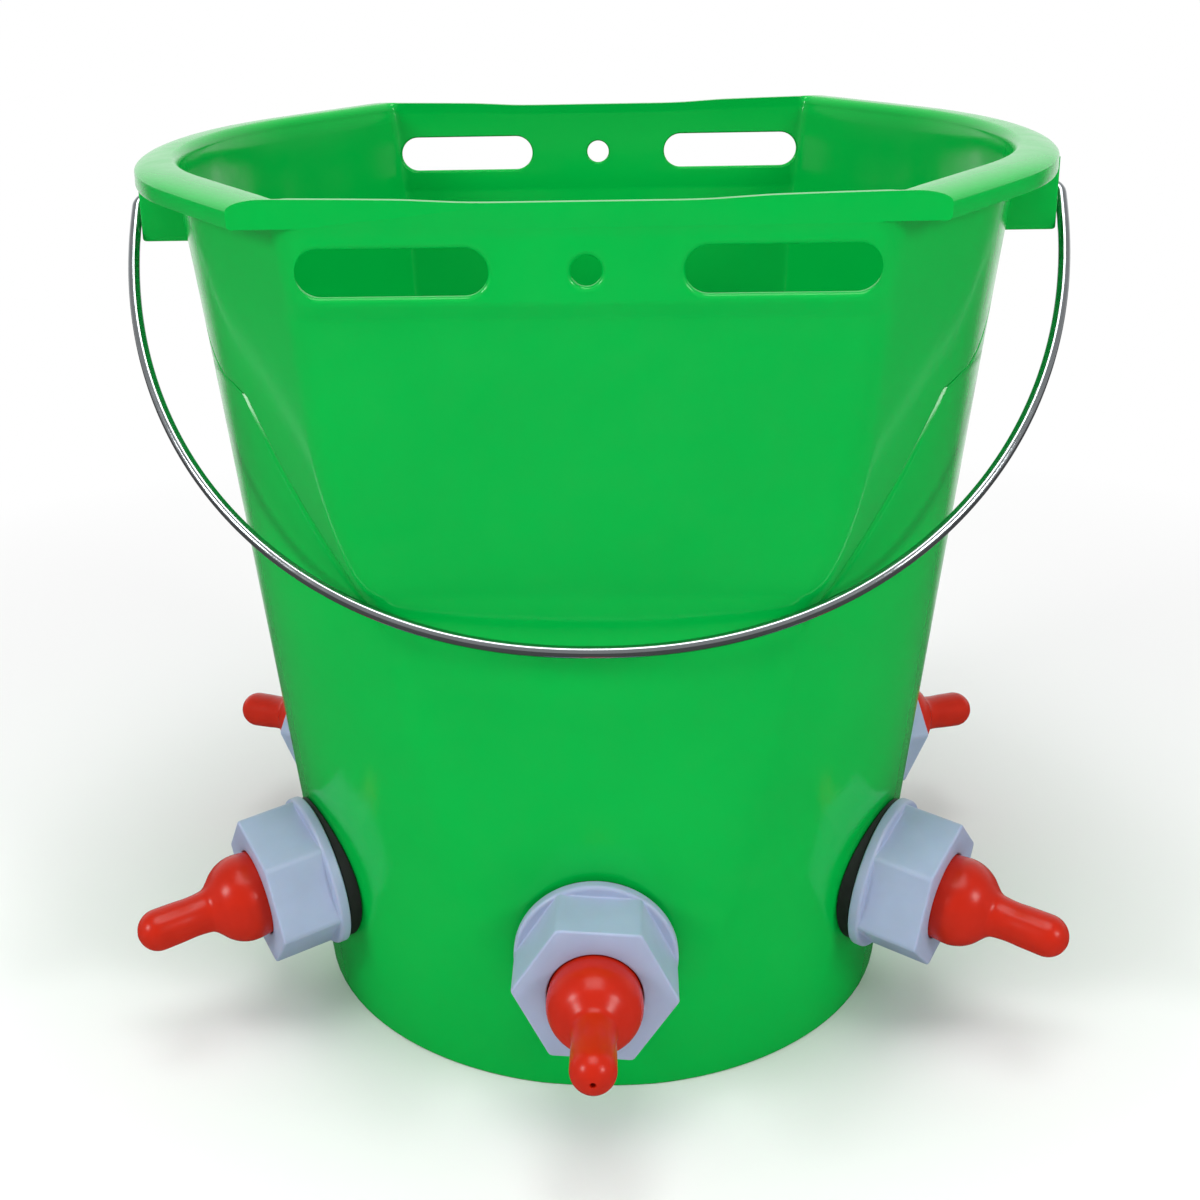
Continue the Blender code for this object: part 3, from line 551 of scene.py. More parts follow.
def fold_to_quarter(azimuth):
    """The azimuth from the nearer panel, between 0 and a quarter turn."""
    return np.arctan2(np.abs(np.sin(azimuth)), np.abs(np.cos(azimuth)))


def wall_levels(size, start, finish):
    """Levels of the wall's rows: wide on the plain body, close at the hood's start and at the step."""
    close_end = 172 * MM
    step_low = size.step_bottom - 3 * MM
    step_high = size.step_bottom + size.step_height + 2 * MM
    return np.concatenate([
        np.linspace(start, HOOD_START, 34, endpoint=False),
        np.linspace(HOOD_START, close_end, 23, endpoint=False),
        np.linspace(close_end, step_low, 26, endpoint=False),
        np.linspace(step_low, step_high, 17, endpoint=False),
        np.linspace(step_high, finish, 7),
    ])


def shell_rows(size):
    """The bucket's section for every azimuth, from the middle of the underside over the rim to the floor.

    Each ring has its levels, what is added to the wall's radius there, and the level of the wall that it
    follows. A flared ring is widened at the round sides only, because the panels keep their full thickness.
    """
    azimuths = []
    radii = []
    levels = []
    under = size.height - size.lip_depth

    def ring(level, offset=0.0, inset=0.0, wall_level=None, share=1.0, flared=False, grooved=False):
        """Add a row at each level, offset from the wall's surface at its own level or at a given one."""
        at = np.atleast_1d(np.asarray(level, dtype=float))[:, None]
        base = at if wall_level is None else wall_level + 0 * at
        azimuth = ring_azimuths(size, base[:, 0])
        quarter = fold_to_quarter(azimuth)
        beyond = 1.0
        if flared:
            edge = crease_azimuths(size, base)[0]
            beyond = smooth_step((quarter - edge) / MOUTH_BLEND + 0.5)
        radius = wall_radius(size, quarter, base, inset) + np.reshape(offset, (-1, 1)) * beyond
        if grooved:
            radius = radius - fold_groove(size, quarter, base)
        radius = radius * np.reshape(share, (-1, 1))
        azimuths.append(azimuth)
        radii.append(radius)
        dip = np.interp(np.abs(radius * np.sin(azimuth)), EDGE_ACROSS, EDGE_DIP)
        levels.append(at - dip * np.clip((at - under) / size.lip_depth, 0.0, 1.0))

    foot = size.foot_height
    soft = 0.8 * MM
    inner = -size.foot_width
    # Underside: from the middle to the foot ring, down its inner side and round its outer edge
    ring([foot, foot], share=[0.02, 0.5], wall_level=0.0)
    ring(foot, offset=inner, wall_level=0.0)
    ring([foot - soft, soft * 0.5], offset=[inner + 0.1 * MM, inner + 0.2 * MM], wall_level=0.0)
    ring(0.0, offset=inner + soft, wall_level=0.0)
    rise, sunk = soft * quarter_round(4)[:, ::-1]
    ring(rise, offset=-sunk, wall_level=soft)
    # Outer wall up to the lip's underside
    neck = 0.6 * MM
    ring(wall_levels(size, 2 * soft, under - neck), grooved=True)
    # Small fillet under the lip, then its underside, outer edge and crowned top
    ring([under - 0.2 * MM, under], offset=[0.15 * MM, 0.6 * MM], wall_level=under - neck)
    wide = size.lip_width
    ring(under, offset=wide - 1.0 * MM, wall_level=size.height)
    ring([under + 0.25 * MM, under + 1.0 * MM], offset=[wide - 0.3 * MM, wide], wall_level=size.height)
    crown_top = size.height + size.lip_crown
    lower, inward = quarter_round(11)
    ring(crown_top - 3.0 * MM * lower, offset=wide - 8.5 * MM * inward, wall_level=size.height)
    # Round over the mouth's inner edge, then the inner wall down to the floor
    wall = size.wall
    drop = 3.5 * MM
    outward, lower = quarter_round(9)
    flare = size.mouth_round * outward
    ring(crown_top - drop * lower, offset=flare, inset=wall, wall_level=size.height, flared=True)
    fillet = 3.0 * MM
    floor_level = foot + size.floor
    fillet_top = floor_level + fillet
    ring(wall_levels(size, fillet_top, crown_top - drop - neck)[::-1], inset=wall)
    above, inward = fillet * quarter_round(6, 0.2)
    ring(floor_level + above, offset=-inward, inset=wall, wall_level=fillet_top)
    ring([floor_level, floor_level], share=[0.5, 0.02], inset=wall, wall_level=fillet_top)
    azimuth = np.vstack(azimuths)
    radius = np.vstack(radii)
    return together(radius * np.sin(azimuth), -radius * np.cos(azimuth), np.vstack(levels))


def stadium(long, high, grow):
    """Outline of a round-ended slot, grown by a distance: two half circles joined by straight lines."""
    turn = np.linspace(-math.pi / 2, math.pi / 2, 20)
    half = (long - high) / 2
    radius = high / 2 + grow
    right = together(half + radius * np.cos(turn), radius * np.sin(turn))
    return np.vstack([right, -right])


def circle(radius, count=40):
    """Outline of a circle."""
    return ring_points(full_turn(count), radius, 0.0)[:, :2]


def rounded_box_outline(wide, high, corner):
    """Outline of a rectangle with rounded corners."""
    turn = np.linspace(0.0, math.pi / 2, 6)
    arc = corner * together(np.cos(turn), np.sin(turn))
    x, y = wide / 2 - corner, high / 2 - corner
    corners = [arc + (x, y), arc[::-1] * (-1, 1) + (-x, y), -arc + (-x, -y), arc[::-1] * (1, -1) + (x, -y)]
    return np.vstack(corners)


def through_panel(outline, middle, side, size):
    """Rows of a cutter that flares by the edge rounding at both faces of a panel, more at the outer one."""
    edge = size.edge_round
    inner_edge = 0.4 * edge
    far = 12 * MM
    outer = size.panel_depth
    inner = outer - size.wall
    flare, sunk = quarter_round(6)
    back = inner + inner_edge * sunk[::-1]
    distance = np.concatenate([[outer + far], outer - edge * sunk, back, [inner - far]])
    grow = np.concatenate([[edge], edge * flare, inner_edge * flare[::-1], [inner_edge]])
    rings = np.stack([outline(value) for value in grow])
    points = together(rings[..., 0] + middle[0], side * distance[:, None], rings[..., 1] + middle[1])
    return points if side > 0 else points[:, ::-1]


def block_rows(low, high, corner):
    """Rows of a block along X, with rounded edges and softened ends."""
    low = np.array(low)
    high = np.array(high)
    _, wide, tall = high - low
    _, y, z = (low + high) / 2
    soft, in_by = corner * quarter_round(4)
    along = np.concatenate([low[0] + in_by, high[0] - in_by[::-1]])
    rows = []
    for x, less in zip(along, np.concatenate([soft, soft[::-1]])):
        outline = rounded_box_outline(wide - 2 * less, tall - 2 * less, corner * 1.01)
        rows.append(together(x, outline[:, 0] + y, outline[:, 1] + z))
    return np.stack(rows)


def ear_rows(size, bail, side, bottom, top):
    """An ear as level rows: its back follows the wall's taper, its outer corners are rounded."""
    corner = 0.9 * MM
    upright = 5
    rise, soft = corner * quarter_round(4)[:, ::-1]
    levels = np.concatenate([bottom + rise, np.linspace(bottom + 2 * corner, top, upright)])
    shrink = np.concatenate([soft, np.zeros(upright)])
    rows = []
    for level, less in zip(levels, shrink):
        back = cone_radius(size, level, size.wall / 2)
        wide = bail.ear_face - less - back
        outline = rounded_box_outline(wide, 2 * (bail.ear_half_width - less), corner)
        across = side * (outline[:, 0] + back + wide / 2)
        rows.append(together(across, side * outline[:, 1], level))
    return np.stack(rows)


def ear_cuts(size, bail, side, bottom, top):
    """The hollow behind an ear's outer plate, the pivot hole through the plate and the slit up to it."""
    half = bail.ear_half_width - bail.ear_web
    slit = 1.6 * MM
    below = bottom - 4 * MM
    near, far = sorted((side * cone_radius(size, top, 0.0), side * (bail.ear_face - bail.ear_plate)))
    hollow = block_rows((near, -half, below), (far, half, top), 0.5 * MM)
    ends = sorted((side * (bail.ear_face - 2 * bail.ear_plate), side * (bail.ear_face + bail.ear_plate)))
    pivot = circle(bail.wire_radius + 0.6 * MM, 32)
    hole = np.stack([together(x, pivot[:, 0], pivot[:, 1] + bail.pivot_level) for x in ends])
    slot = block_rows((ends[0], -slit, below), (ends[1], slit, bail.pivot_level), 0.3 * MM)
    return [hollow, hole, slot]


def panel_cuts(size, side):
    """The trim that keeps the lip off a panel, the panel's two hanging slots and its centre hole."""
    reach = 2 * size.rim_radius
    near, far = sorted((side * (size.panel_depth + 0.01 * MM), side * reach))
    low = size.height - size.lip_depth - 1 * MM
    cuts = [block_rows((-reach, near, low), (reach, far, size.height + 20 * MM), 0.01 * MM)]
    level = size.slot_level
    for x in (-size.slot_offset, size.slot_offset):
        cuts.append(through_panel(
            lambda grow: stadium(size.slot_length, size.slot_height, grow), (x, level), side, size))
    cuts.append(through_panel(lambda grow: circle(size.hole_radius + grow), (0.0, level), side, size))
    return cuts


def spigot_hole(teats, place):
    """The round hole in the wall for a teat unit's spigot."""
    bore = teats.thread_radius + GAP
    reach = 12 * MM
    return transformed(turned_rows([(bore, -reach), (bore, reach)], 64), unit_matrix(place))


def carve(mesh, operation, tool_mesh):
    """The mesh after an exact Boolean with a tool mesh."""
    target = linked("carved", mesh)
    tool = linked("tool", tool_mesh)
    step = target.modifiers.new("Carve", "BOOLEAN")
    step.operation = operation
    step.solver = "EXACT"
    step.object = tool
    graph = bpy.context.evaluated_depsgraph_get()
    graph.update()
    result = bpy.data.meshes.new_from_object(target.evaluated_get(graph))
    for used in (target, tool):
        data = used.data
        bpy.data.objects.remove(used)
        bpy.data.meshes.remove(data)
    return result


def unit_matrix(place):
    """Frame of a teat unit, +Z outwards along its ball's joint, with its origin on the wall."""
    joint = next(j for j in frame["joints"] if j["name"] == "ball_lift_" + place)
    axis = Vector(joint["axis"]).normalized()
    side = Vector((-axis.y, axis.x, 0.0)).normalized()
    matrix = Matrix((side, axis.cross(side), axis)).transposed().to_4x4()
    matrix.translation = Vector(joint["pos_m"]) - axis * ball_open(bpy.context.scene.teat_units)
    return matrix


def ball_open(teats):
    """Distance of the open ball's centre from the wall: its travel off the seat of 45 degrees."""
    travel = 3 * MM
    seat = 2 * MM - teats.saddle_face
    return seat - teats.inlet_radius + math.sqrt(2.0) * (teats.ball_radius + GAP) + travel


def turned_rows(profile, count):
    """Rows of a turned shape: each (radius, level) of the profile carried round the local Z axis."""
    radius, level = np.asarray(profile).T[..., None]
    return ring_points(full_turn(count), radius, level)


def curve_through(points, per_span=6):
    """A Catmull-Rom curve through points: each span is a cubic with the neighbours' slopes."""
    p = np.asarray(points, dtype=float)
    padded = np.vstack([2 * p[0] - p[1], p, 2 * p[-1] - p[-2]])
    share = np.linspace(0.0, 1.0, per_span, endpoint=False)[:, None]
    a, b, c, d = (padded[i:len(padded) - 3 + i][:, None, :] for i in range(4))
    square = 2 * a - 5 * b + 4 * c - d
    cube = 3 * b - a - 3 * c + d
    spans = 0.5 * (2 * b + (c - a) * share + square * share ** 2 + cube * share ** 3)
    return np.vstack([spans.reshape(-1, p.shape[1]), p[-1:]])


def corner_round(level, radius, start, end, count):
    """Profile points on an arc round the axis point at a level, between two angles in degrees."""
    turn = np.radians(np.linspace(start, end, count))
    return together(radius * np.cos(turn), level + radius * np.sin(turn))


def wall_sag(across, curve):
    """How far a wall of this radius falls back at a distance across from the unit's axis; none on a flat."""
    return 0.0 if curve is None else curve - np.sqrt(curve ** 2 - across ** 2)


def hexagon_radius(turn, flat, corner):
    """Radius of a hexagon with rounded corners, cut by a circle round its corners."""
    sector = np.mod(turn + math.pi / 6, math.pi / 3) - math.pi / 6
    near = flat / np.cos(sector)
    neighbour = flat / np.cos(math.pi / 3 - np.abs(sector))
    return np.minimum(smooth_min(near, neighbour, 0.9 * MM), corner)


def thread_depth(turn, level, teats):
    """Depth of the thread at a turn and level: a rounded saw along a helix, 0 on the crest."""
    phase = level / teats.thread_pitch - turn / math.tau
    return teats.thread_depth * (0.5 - 0.5 * np.cos(math.tau * phase))


def nut_rows(teats, turned):
    """Cap nut as closed rows: flange, hexagon with rounded edges, face, hole, inner lip, threaded bore."""
    turn = full_turn(180)
    start = teats.seal_height + GAP
    face = teats.nut_face
    flange = teats.corner_radius
    shoulder = start + teats.flange_height
    hexagon = hexagon_radius(turn - turned, teats.across_flats / 2, flange)
    bore = teats.thread_radius + GAP
    relief = 0.6 * MM
    soft = 0.5 * MM
    over = 1.3 * MM
    edge = 0.8 * MM
    rows = []

    def row(level, radius):
        rows.append(ring_points(turn, radius, level))

    row(start, bore + 1.0 * MM)
    for near, away in zip(*quarter_round(5)):
        row(start + soft * away, flange - soft * near)
    # The flange's edge is rounded over, then its shoulder meets the hexagon's flats in a small fillet
    for near, away in zip(*quarter_round(8)):
        row(shoulder - over * near, np.maximum(flange - over * away, hexagon))
    fillet = np.clip(flange - over - hexagon, 0.0, soft)
    for near, away in zip(*quarter_round(5)):
        row(shoulder + soft * away, hexagon + fillet * near)
    for level in np.linspace(shoulder + 1.2 * MM, face - 1.0 * MM, 6):
        row(level, hexagon)
    for near, away in zip(*quarter_round(7)):
        row(face - edge * near, hexagon - edge * away)
    row(face, (hexagon + teats.nut_hole) * 0.5)
    for near, away in zip(*quarter_round(5)):
        row(face - soft * away, teats.nut_hole + soft * near)
    inner = face - teats.nut_lip
    row(inner, teats.nut_hole)
    row(inner, bore + 0.8 * MM)
    for level in np.linspace(inner - relief, start + relief, 70):
        row(level, bore + teats.thread_depth - thread_depth(turn, level, teats))
    return np.stack(rows)


def teat_profile(teats):
    """Half section of the hollow teat: clamped flange, outside up to the tip, hole, and inside back down.

    The points are worked out in millimetres.
    """
    bulb = teats.teat_bulb / MM
    tip = teats.teat_length / MM
    nipple = teats.nipple / MM
    face = teats.nut_face / MM
    gap = GAP / MM
    flange = teats.thread_radius / MM - gap
    flange_top = face - teats.nut_lip / MM - gap
    base = teats.seal_height / MM + 16.0
    neck = teats.nut_hole / MM - gap
    round_start = tip - nipple
    bore = nipple - 2.0
    hole = 0.8
    foot = [(flange, base), (flange, flange_top), (neck, flange_top)]
    outer = curve_through([
        (neck, flange_top + 0.6),
        (neck - 0.05, face),
        (bulb - 0.1, 28.2),
        (bulb - 0.25, 31.0),
        (bulb - 1.2, 34.0),
        (bulb - 3.0, 36.8),
        (bulb - 5.3, 39.0),
        (nipple + 0.7, 40.6),
        (nipple + 0.05, 42.4),
        (nipple - 0.25, 46.5),
        (nipple - 0.1, 51.0),
        (nipple, round_start - 1.0),
    ])
    cap = corner_round(round_start, nipple, 3.0, 82.0, 12)
    tip_hole = [(hole * 1.3, tip - 0.05), (hole, tip - 0.4), (hole, tip - 1.9)]
    inner_cap = corner_round(round_start, bore, 78.0, 0.0, 6)
    inner = curve_through([
        (bore, round_start - 1.0),
        (bore - 0.1, 46.5),
        (nipple - 0.4, 40.0),
        (bulb - 3.7, 34.4),
        (bulb - 2.3, 29.0),
        (neck - 2.0, base),
    ], 4)
    return np.vstack([foot, outer, cap, tip_hole, inner_cap, inner]) * MM


def seal_rows(teats, curve):
    """Black washer: a flat ring with soft edges, moulded to the wall on its inner side."""
    turn = full_turn(96)
    inner = teats.thread_radius + GAP
    outer = teats.seal_radius
    top = teats.seal_height
    soft = 0.3 * MM
    rows = []
    for radius, rise in ((inner, 0.0), (outer - soft, 0.0), (outer, soft)):
        rows.append(ring_points(turn, radius, GAP + rise - wall_sag(radius * np.cos(turn), curve)))
    for radius, level in ((outer, top - soft), (outer - soft, top), (inner, top)):
        rows.append(ring_points(turn, radius, level))
    return np.stack(rows)


def spigot_rows(size, teats, curve):
    """Spigot: inner flange with a saddle towards the wall, threaded tube, outlet, guide bore, seat, inlet."""
    turn = full_turn(120)
    back = -teats.saddle_face
    wide = teats.saddle_radius
    tube = teats.thread_radius
    end = 17.5 * MM
    outlet = 13.5 * MM
    outlet_floor = 8.5 * MM
    cage = 8.0 * MM
    edge = 0.8 * MM
    soft = 0.5 * MM
    seat = back + 2 * MM
    guide = teats.ball_radius + GAP
    retainer = ball_open(teats) + teats.ball_radius
    rows = []

    def row(radius, level):
        rows.append(ring_points(turn, radius, level))

    def saddle_row(radius, drop):
        row(radius, -size.wall - GAP - drop - wall_sag(radius * np.cos(turn), curve))

    for near, away in quarter_round(5).T[::-1]:
        row(teats.inlet_radius + soft * near, back + soft * away)
    row(wide - edge, back)
    for near, away in quarter_round(5).T[1:]:
        row(wide - edge * near, back + edge * away)
    saddle_row(wide, 0.4 * MM)
    saddle_row(wide - 0.3 * MM, 0.0)
    saddle_row(tube, 0.0)
    row(tube, 1.5 * MM)
    for level in np.linspace(2.0 * MM, end - 0.8 * MM, 62):
        row(tube - thread_depth(turn, level, teats), level)
    row(tube - teats.thread_depth, end)
    row(outlet + 0.4 * MM, end)
    row(outlet, end - 0.4 * MM)
    row(outlet, outlet_floor)
    row(cage, outlet_floor)
    row(cage, retainer)
    row(guide, retainer)
    row(guide, seat + guide - teats.inlet_radius)
    row(teats.inlet_radius, seat)
    return np.stack(rows)


def ball_rows(teats, level):
    """Valve ball with a faint parting line: a sphere's meridians, lowered by a hair at the equator."""
    polar = np.linspace(0.0, math.pi, 34)[1:-1]
    groove = 1 - 0.004 * np.exp(-((polar - math.pi / 2) / 0.05) ** 2)
    radius = teats.ball_radius * groove
    return turned_rows(together(radius * np.sin(polar), level - radius * np.cos(polar)), 48)


def bail_half(bail):
    """Centre line of half the bail in its own plane: hook, two quarter bends, then the superellipse."""
    bend = 3.6 * MM
    hook_x = bail.half_width - 11.5 * MM
    near, away = bend * quarter_round(12)
    first = together(hook_x + away, near)
    second = together(bail.half_width - near, away)
    power = 2 / bail.squareness
    start = math.asin((bend / bail.reach) ** (1 / power))
    turn = np.linspace(start, math.pi / 2, 90)[1:]
    across = bail.half_width * np.maximum(np.cos(turn), 0.0) ** power
    loop = together(across, bail.reach * np.sin(turn) ** power)
    straight = together(hook_x, np.linspace(6.0 * MM, bend * 1.1, 5))
    return np.vstack([straight, first, second[1:], loop])


def bail_rows(bail):
    """The wire: a circle carried along the bail's centre line, with softened cut ends."""
    half = bail_half(bail)
    path = np.vstack([half, half[-2::-1] * (-1, 1)])
    keep = np.concatenate([[True], np.linalg.norm(np.diff(path, axis=0), axis=1) > 0.05 * MM])
    across, along = path[keep].T
    tilt = math.asin(min((-BAIL_LOW.y - bail.wire_radius) / bail.reach, 1.0))
    down = np.array([0.0, math.cos(tilt), -math.sin(tilt)])
    centre = together(across, -along * math.sin(tilt), bail.pivot_level - along * math.cos(tilt))
    tangent = np.gradient(centre, axis=0)
    tangent /= np.linalg.norm(tangent, axis=1, keepdims=True)
    side = np.cross(tangent, down)
    turn = full_turn(28)
    radius = np.full(len(centre), bail.wire_radius)
    radius[[0, -1]] -= 0.3 * MM
    step = np.linalg.norm(np.diff(centre, axis=0), axis=1)
    travelled = np.concatenate([[0.0], np.cumsum(step)]) / MM
    ring = down * np.cos(turn)[:, None] + side[:, None] * np.sin(turn)[:, None]
    points = centre[:, None] + ring * radius[:, None, None]
    return points, together(turn * bail.wire_radius / MM, travelled[:, None])


class BUCKET_OT_shell(bpy.types.Operator):
    """Makes the moulded bucket with its rim, slots, holes and ears"""

    bl_idname = "bucket.make_shell"
    bl_label = "Bucket"

    def execute(self, context):
        size = context.scene.bucket
        bail = context.scene.bail
        mesh = grid_mesh("bucket_body", shell_rows(size))
        bottom = bail.pivot_level - bail.ear_drop
        under = size.height - size.lip_depth
        cuts = []
        for side in (-1, 1):
            ear = ear_rows(size, bail, side, bottom, under + 0.6 * MM)
            mesh = carve(mesh, "UNION", grid_mesh("ear", ear))
            cuts += ear_cuts(size, bail, side, bottom, under)
        cuts += panel_cuts(size, -1) + panel_cuts(size, 1)
        cuts += [spigot_hole(context.scene.teat_units, place) for place in PLACES]
        for cut in cuts:
            mesh = carve(mesh, "DIFFERENCE", grid_mesh("cut", cut))
        mesh.name = "bucket_body"
        material = moulded_polypropylene(size.plastic)
        add_piece("bucket_body", mesh, material, "bucket", ["bucket_shell"])
        return {"FINISHED"}


class BUCKET_OT_bail(bpy.types.Operator):
    """Makes the zinc-plated wire bail"""

    bl_idname = "bucket.make_bail"
    bl_label = "Wire bail"

    def execute(self, context):
        bail = context.scene.bail
        points, uv = bail_rows(bail)
        mesh = grid_mesh("wire_bail", points, uv=uv)
        add_piece("wire_bail", mesh, zinc_plated_wire(bail.zinc), "bail", ["bail_handle"], 50.0)
        return {"FINISHED"}


def wall_curve(size, place):
    """Radius of the wall behind a teat unit, or None on the flats."""
    return None if place in ("front", "rear") else cone_radius(size, UNIT_LEVEL, 0.0)


def add_unit_piece(kind, place, rows, material, node, body="bucket", closed_rows=True, sharp=35.0):
    """Add one piece of a teat unit, whose rows are in the unit's own frame."""
    name = kind + "_" + place
    mesh = grid_mesh(name, transformed(rows, unit_matrix(place)), closed_rows)
    add_piece(name, mesh, material, body, [node + "_" + place], sharp)


class BUCKET_OT_spigots(bpy.types.Operator):
    """Makes the threaded spigots and their black washers"""

    bl_idname = "bucket.make_spigots"
    bl_label = "Spigots and washers"

    def execute(self, context):
        size = context.scene.bucket
        teats = context.scene.teat_units
        plastic = nut_polypropylene(teats.plastic)
        rubber = washer_rubber()
        for place in PLACES:
            curve = wall_curve(size, place)
            spigot = spigot_rows(size, teats, curve)
            add_unit_piece("spigot", place, spigot, plastic, "valve_body")
            add_unit_piece("washer", place, seal_rows(teats, curve), rubber, "wall_seal")
        return {"FINISHED"}


class BUCKET_OT_nuts(bpy.types.Operator):
    """Makes the hexagon cap nuts"""

    bl_idname = "bucket.make_nuts"
    bl_label = "Cap nuts"

    def execute(self, context):
        teats = context.scene.teat_units
        plastic = nut_polypropylene(teats.plastic)
        for place, turned in NUT_TURNS.items():
            nut = nut_rows(teats, math.radians(turned))
            add_unit_piece("hex_nut", place, nut, plastic, "cap_nut")
        return {"FINISHED"}


class BUCKET_OT_teats(bpy.types.Operator):
    """Makes the red rubber teats"""

    bl_idname = "bucket.make_teats"
    bl_label = "Teats"

    def execute(self, context):
        teats = context.scene.teat_units
        rubber = teat_rubber(teats.rubber)
        teat = turned_rows(teat_profile(teats), 64)
        for place in PLACES:
            add_unit_piece("red_teat", place, teat, rubber, "teat")
        return {"FINISHED"}


class BUCKET_OT_valves(bpy.types.Operator):
    """Makes the valve balls and finishes their retainers"""

    bl_idname = "bucket.make_valves"
    bl_label = "Ball valves"

    def execute(self, context):
        teats = context.scene.teat_units
        acetal = white_acetal()
        ball = ball_rows(teats, ball_open(teats))
        for place in PLACES:
            add_unit_piece("float_ball", place, ball, acetal, "valve_ball",
                           body="ball_" + place, closed_rows=False, sharp=60.0)
            retainer = frame["nodes"]["ball_retainer_" + place]
            retainer.data.materials.clear()
            retainer.data.materials.append(acetal)
        return {"FINISHED"}


def soft_light(name, place, target, wide, power):
    """A square softbox that faces a point."""
    data = bpy.data.lights.new(name, "AREA")
    data.size = wide
    data.energy = power
    lamp = linked(name, data)
    lamp.location = place
    lamp.rotation_euler = (Vector(target) - Vector(place)).to_track_quat("-Z", "Y").to_euler()


def ray_kinds(tree):
    """Whether a ray is mirrored, and whether the camera looks along it, straight or through a clear piece."""
    rays = add_node(tree, "LightPath").outputs
    seen = combined(tree, "MAXIMUM", rays["Is Camera Ray"], rays["Is Transmission Ray"])
    return rays["Is Glossy Ray"], seen


def studio_world():
    """Pale room: plain white where it is seen, a plain level where it lights the object.

    A mirrored ray meets the white backdrop behind the object, or the dimmer room at the sides and in front.
    """
    world = bpy.data.worlds.new("studio")
    bpy.context.scene.world = world
    world.use_nodes = True
    tree = world.node_tree
    tree.nodes.clear()

    def background(strength, links=None):
        values = {"Color": linear(WHITE), "Strength": strength}
        return add_node(tree, "Background", values, links).outputs["Background"]

    glossy, seen = ray_kinds(tree)
    place = add_node(tree, "TexCoord")
    heading = add_node(tree, "SeparateXYZ", None, {"Vector": place.outputs["Generated"]})
    behind = ranged(tree, heading.outputs["Y"], 0.2, 0.7, ROOM_LEVEL, 1.0, interpolation_type="SMOOTHSTEP")
    mirrored = mixed(tree, glossy, background(PLAIN_LEVEL), background(1.0, {"Strength": behind}))
    output = add_node(tree, "OutputWorld")
    tree.links.new(mixed(tree, seen, mirrored, background(1.0)), output.inputs["Surface"])


def studio_floor(base):
    """Pale floor that keeps the shadow near the object and turns to plain white further away.

    Mirrored rays meet the white only behind the object, where the backdrop stands, and a dimmer floor
    elsewhere.
    """
    reach = 6.0
    mesh = bpy.data.meshes.new("studio_floor")
    corners = [(-reach, -reach, 0.0), (reach, -reach, 0.0), (reach, reach, 0.0), (-reach, reach, 0.0)]
    mesh.from_pydata(corners, [], [(0, 1, 2, 3)])
    floor = linked("studio_floor", mesh)
    material, tree, output = new_material("white_studio_paper")
    glossy, seen = ray_kinds(tree)
    place = add_node(tree, "TexCoord").outputs["Object"]
    away = add_node(tree, "VectorMath", None, {0: place}, operation="LENGTH")
    fade = ranged(tree, away.outputs["Value"], 0.22, 0.6)
    heading = add_node(tree, "VectorMath", None, {0: place}, operation="NORMALIZE")
    axes = add_node(tree, "SeparateXYZ", None, {"Vector": heading.outputs["Vector"]})
    mirrored = combined(tree, "MULTIPLY", glossy, ranged(tree, axes.outputs["Y"], 0.70, 0.88))
    dimmed = combined(tree, "SUBTRACT", glossy, mirrored)
    tones = {6: linear(base), 7: linear(DIM_FLOOR)}
    tone = add_node(tree, "Mix", tones, {0: dimmed}, data_type="RGBA")
    share = combined(tree, "MULTIPLY", fade, combined(tree, "MAXIMUM", seen, mirrored))
    paper = add_node(tree, "BsdfDiffuse", None, {"Color": tone.outputs[2]})
    white = add_node(tree, "Emission", {"Color": linear(WHITE), "Strength": 1.0})
    surface = mixed(tree, share, paper.outputs["BSDF"], white.outputs["Emission"])
    tree.links.new(surface, output.inputs["Surface"])
    mesh.materials.append(material)


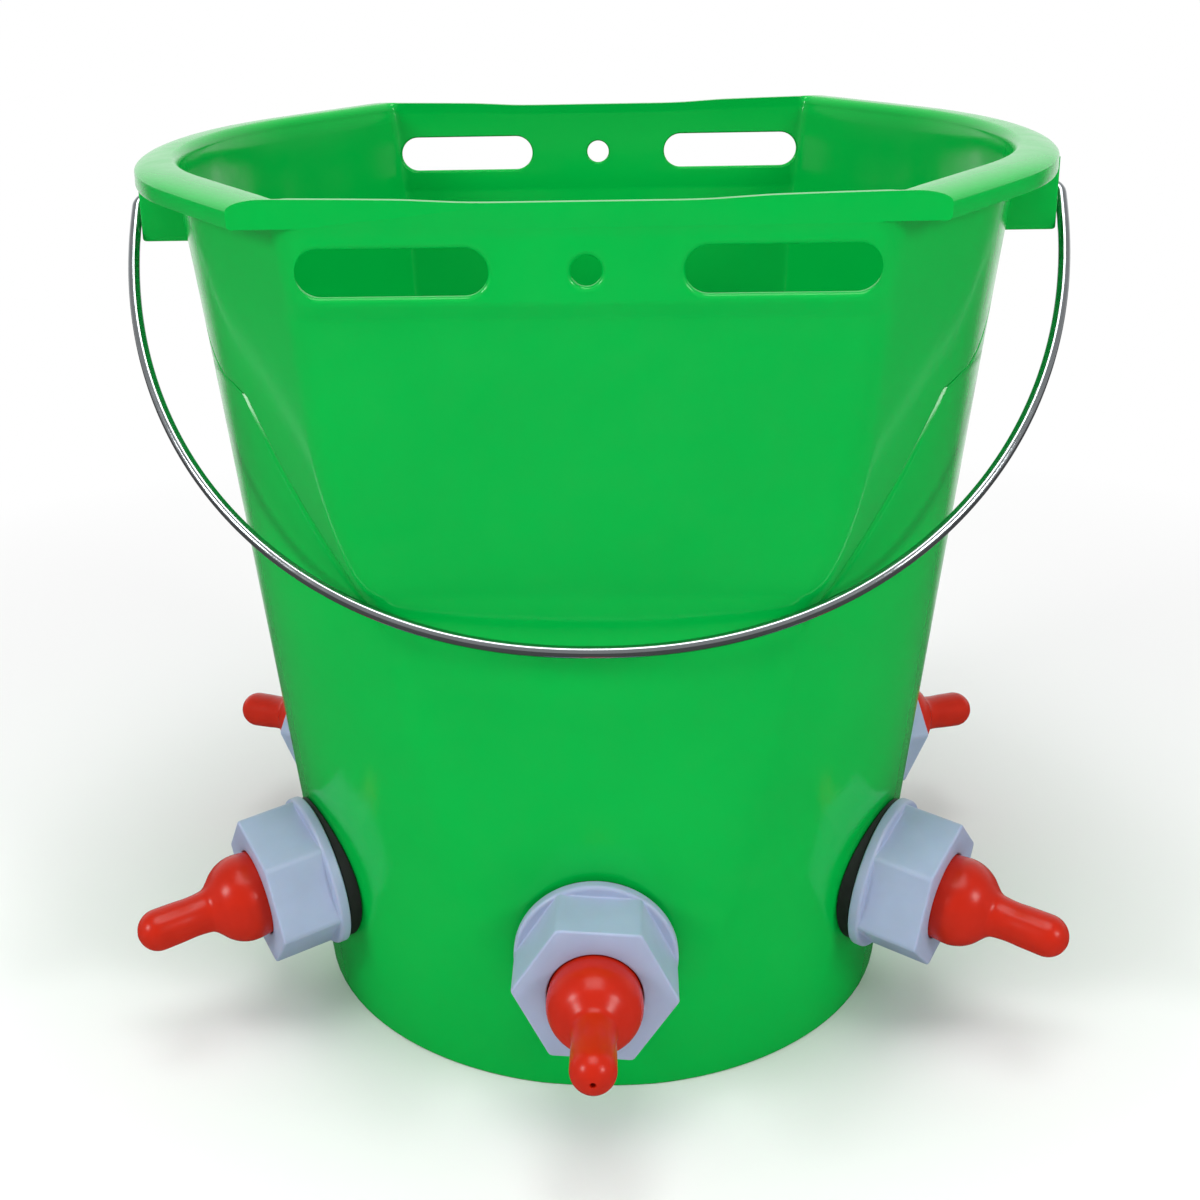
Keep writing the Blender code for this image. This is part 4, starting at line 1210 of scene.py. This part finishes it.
class BUCKET_OT_stage(bpy.types.Operator):
    """Sets the camera, the soft lights and the pale floor"""

    bl_idname = "bucket.set_stage"
    bl_label = "Studio"

    def execute(self, context):
        stage = context.scene.studio
        level = math.cos(stage.pitch)
        heading = Vector((math.sin(stage.yaw) * level, math.cos(stage.yaw) * level, -math.sin(stage.pitch)))
        right = Vector((math.cos(stage.yaw), -math.sin(stage.yaw), 0.0))
        up = right.cross(heading)
        turned_right = math.cos(stage.roll) * right + math.sin(stage.roll) * up
        turned_up = -math.sin(stage.roll) * right + math.cos(stage.roll) * up
        data = bpy.data.cameras.new("camera")
        data.lens = stage.lens
        data.sensor_width = 36.0
        data.shift_x, data.shift_y = stage.shift
        data.clip_start = 0.01
        data.clip_end = 50.0
        camera = linked("camera", data)
        matrix = Matrix((turned_right, turned_up, -heading)).transposed().to_4x4()
        matrix.translation = Vector(stage.place)
        camera.matrix_world = matrix
        context.scene.camera = camera
        middle = (0.0, 0.0, 0.14)
        for name, place, wide, power in SOFTBOXES:
            soft_light(name, place, middle, wide, power)
        studio_world()
        studio_floor(stage.floor)
        context.scene.view_settings.view_transform = "Standard"
        return {"FINISHED"}


OPERATORS = (
    BUCKET_OT_stage, BUCKET_OT_shell, BUCKET_OT_bail, BUCKET_OT_nuts,
    BUCKET_OT_spigots, BUCKET_OT_teats, BUCKET_OT_valves,
)


class BUCKET_PT_panel(bpy.types.Panel):
    """Lists the bucket's operators"""

    bl_label = "Feeding bucket"
    bl_idname = "BUCKET_PT_panel"
    bl_space_type = "VIEW_3D"
    bl_region_type = "UI"
    bl_category = "Bucket"

    def draw(self, context):
        for operator in OPERATORS:
            self.layout.operator(operator.bl_idname)


SETTINGS = (
    ("bucket", BucketSettings),
    ("bail", BailSettings),
    ("teat_units", TeatUnitSettings),
    ("studio", StageSettings),
)


def register():
    for _, group in SETTINGS:
        bpy.utils.register_class(group)
    for name, group in SETTINGS:
        setattr(bpy.types.Scene, name, PointerProperty(type=group))
    for item in OPERATORS + (BUCKET_PT_panel,):
        bpy.utils.register_class(item)


def unregister():
    for item in reversed(OPERATORS + (BUCKET_PT_panel,)):
        bpy.utils.unregister_class(item)
    for name, group in reversed(SETTINGS):
        delattr(bpy.types.Scene, name)
        bpy.utils.unregister_class(group)


def main():
    register()
    bpy.ops.bucket.set_stage()
    bpy.ops.bucket.make_shell()
    bpy.ops.bucket.make_bail()
    bpy.ops.bucket.make_nuts()
    bpy.ops.bucket.make_spigots()
    bpy.ops.bucket.make_teats()
    bpy.ops.bucket.make_valves()


if __name__ == "__main__":
    main()
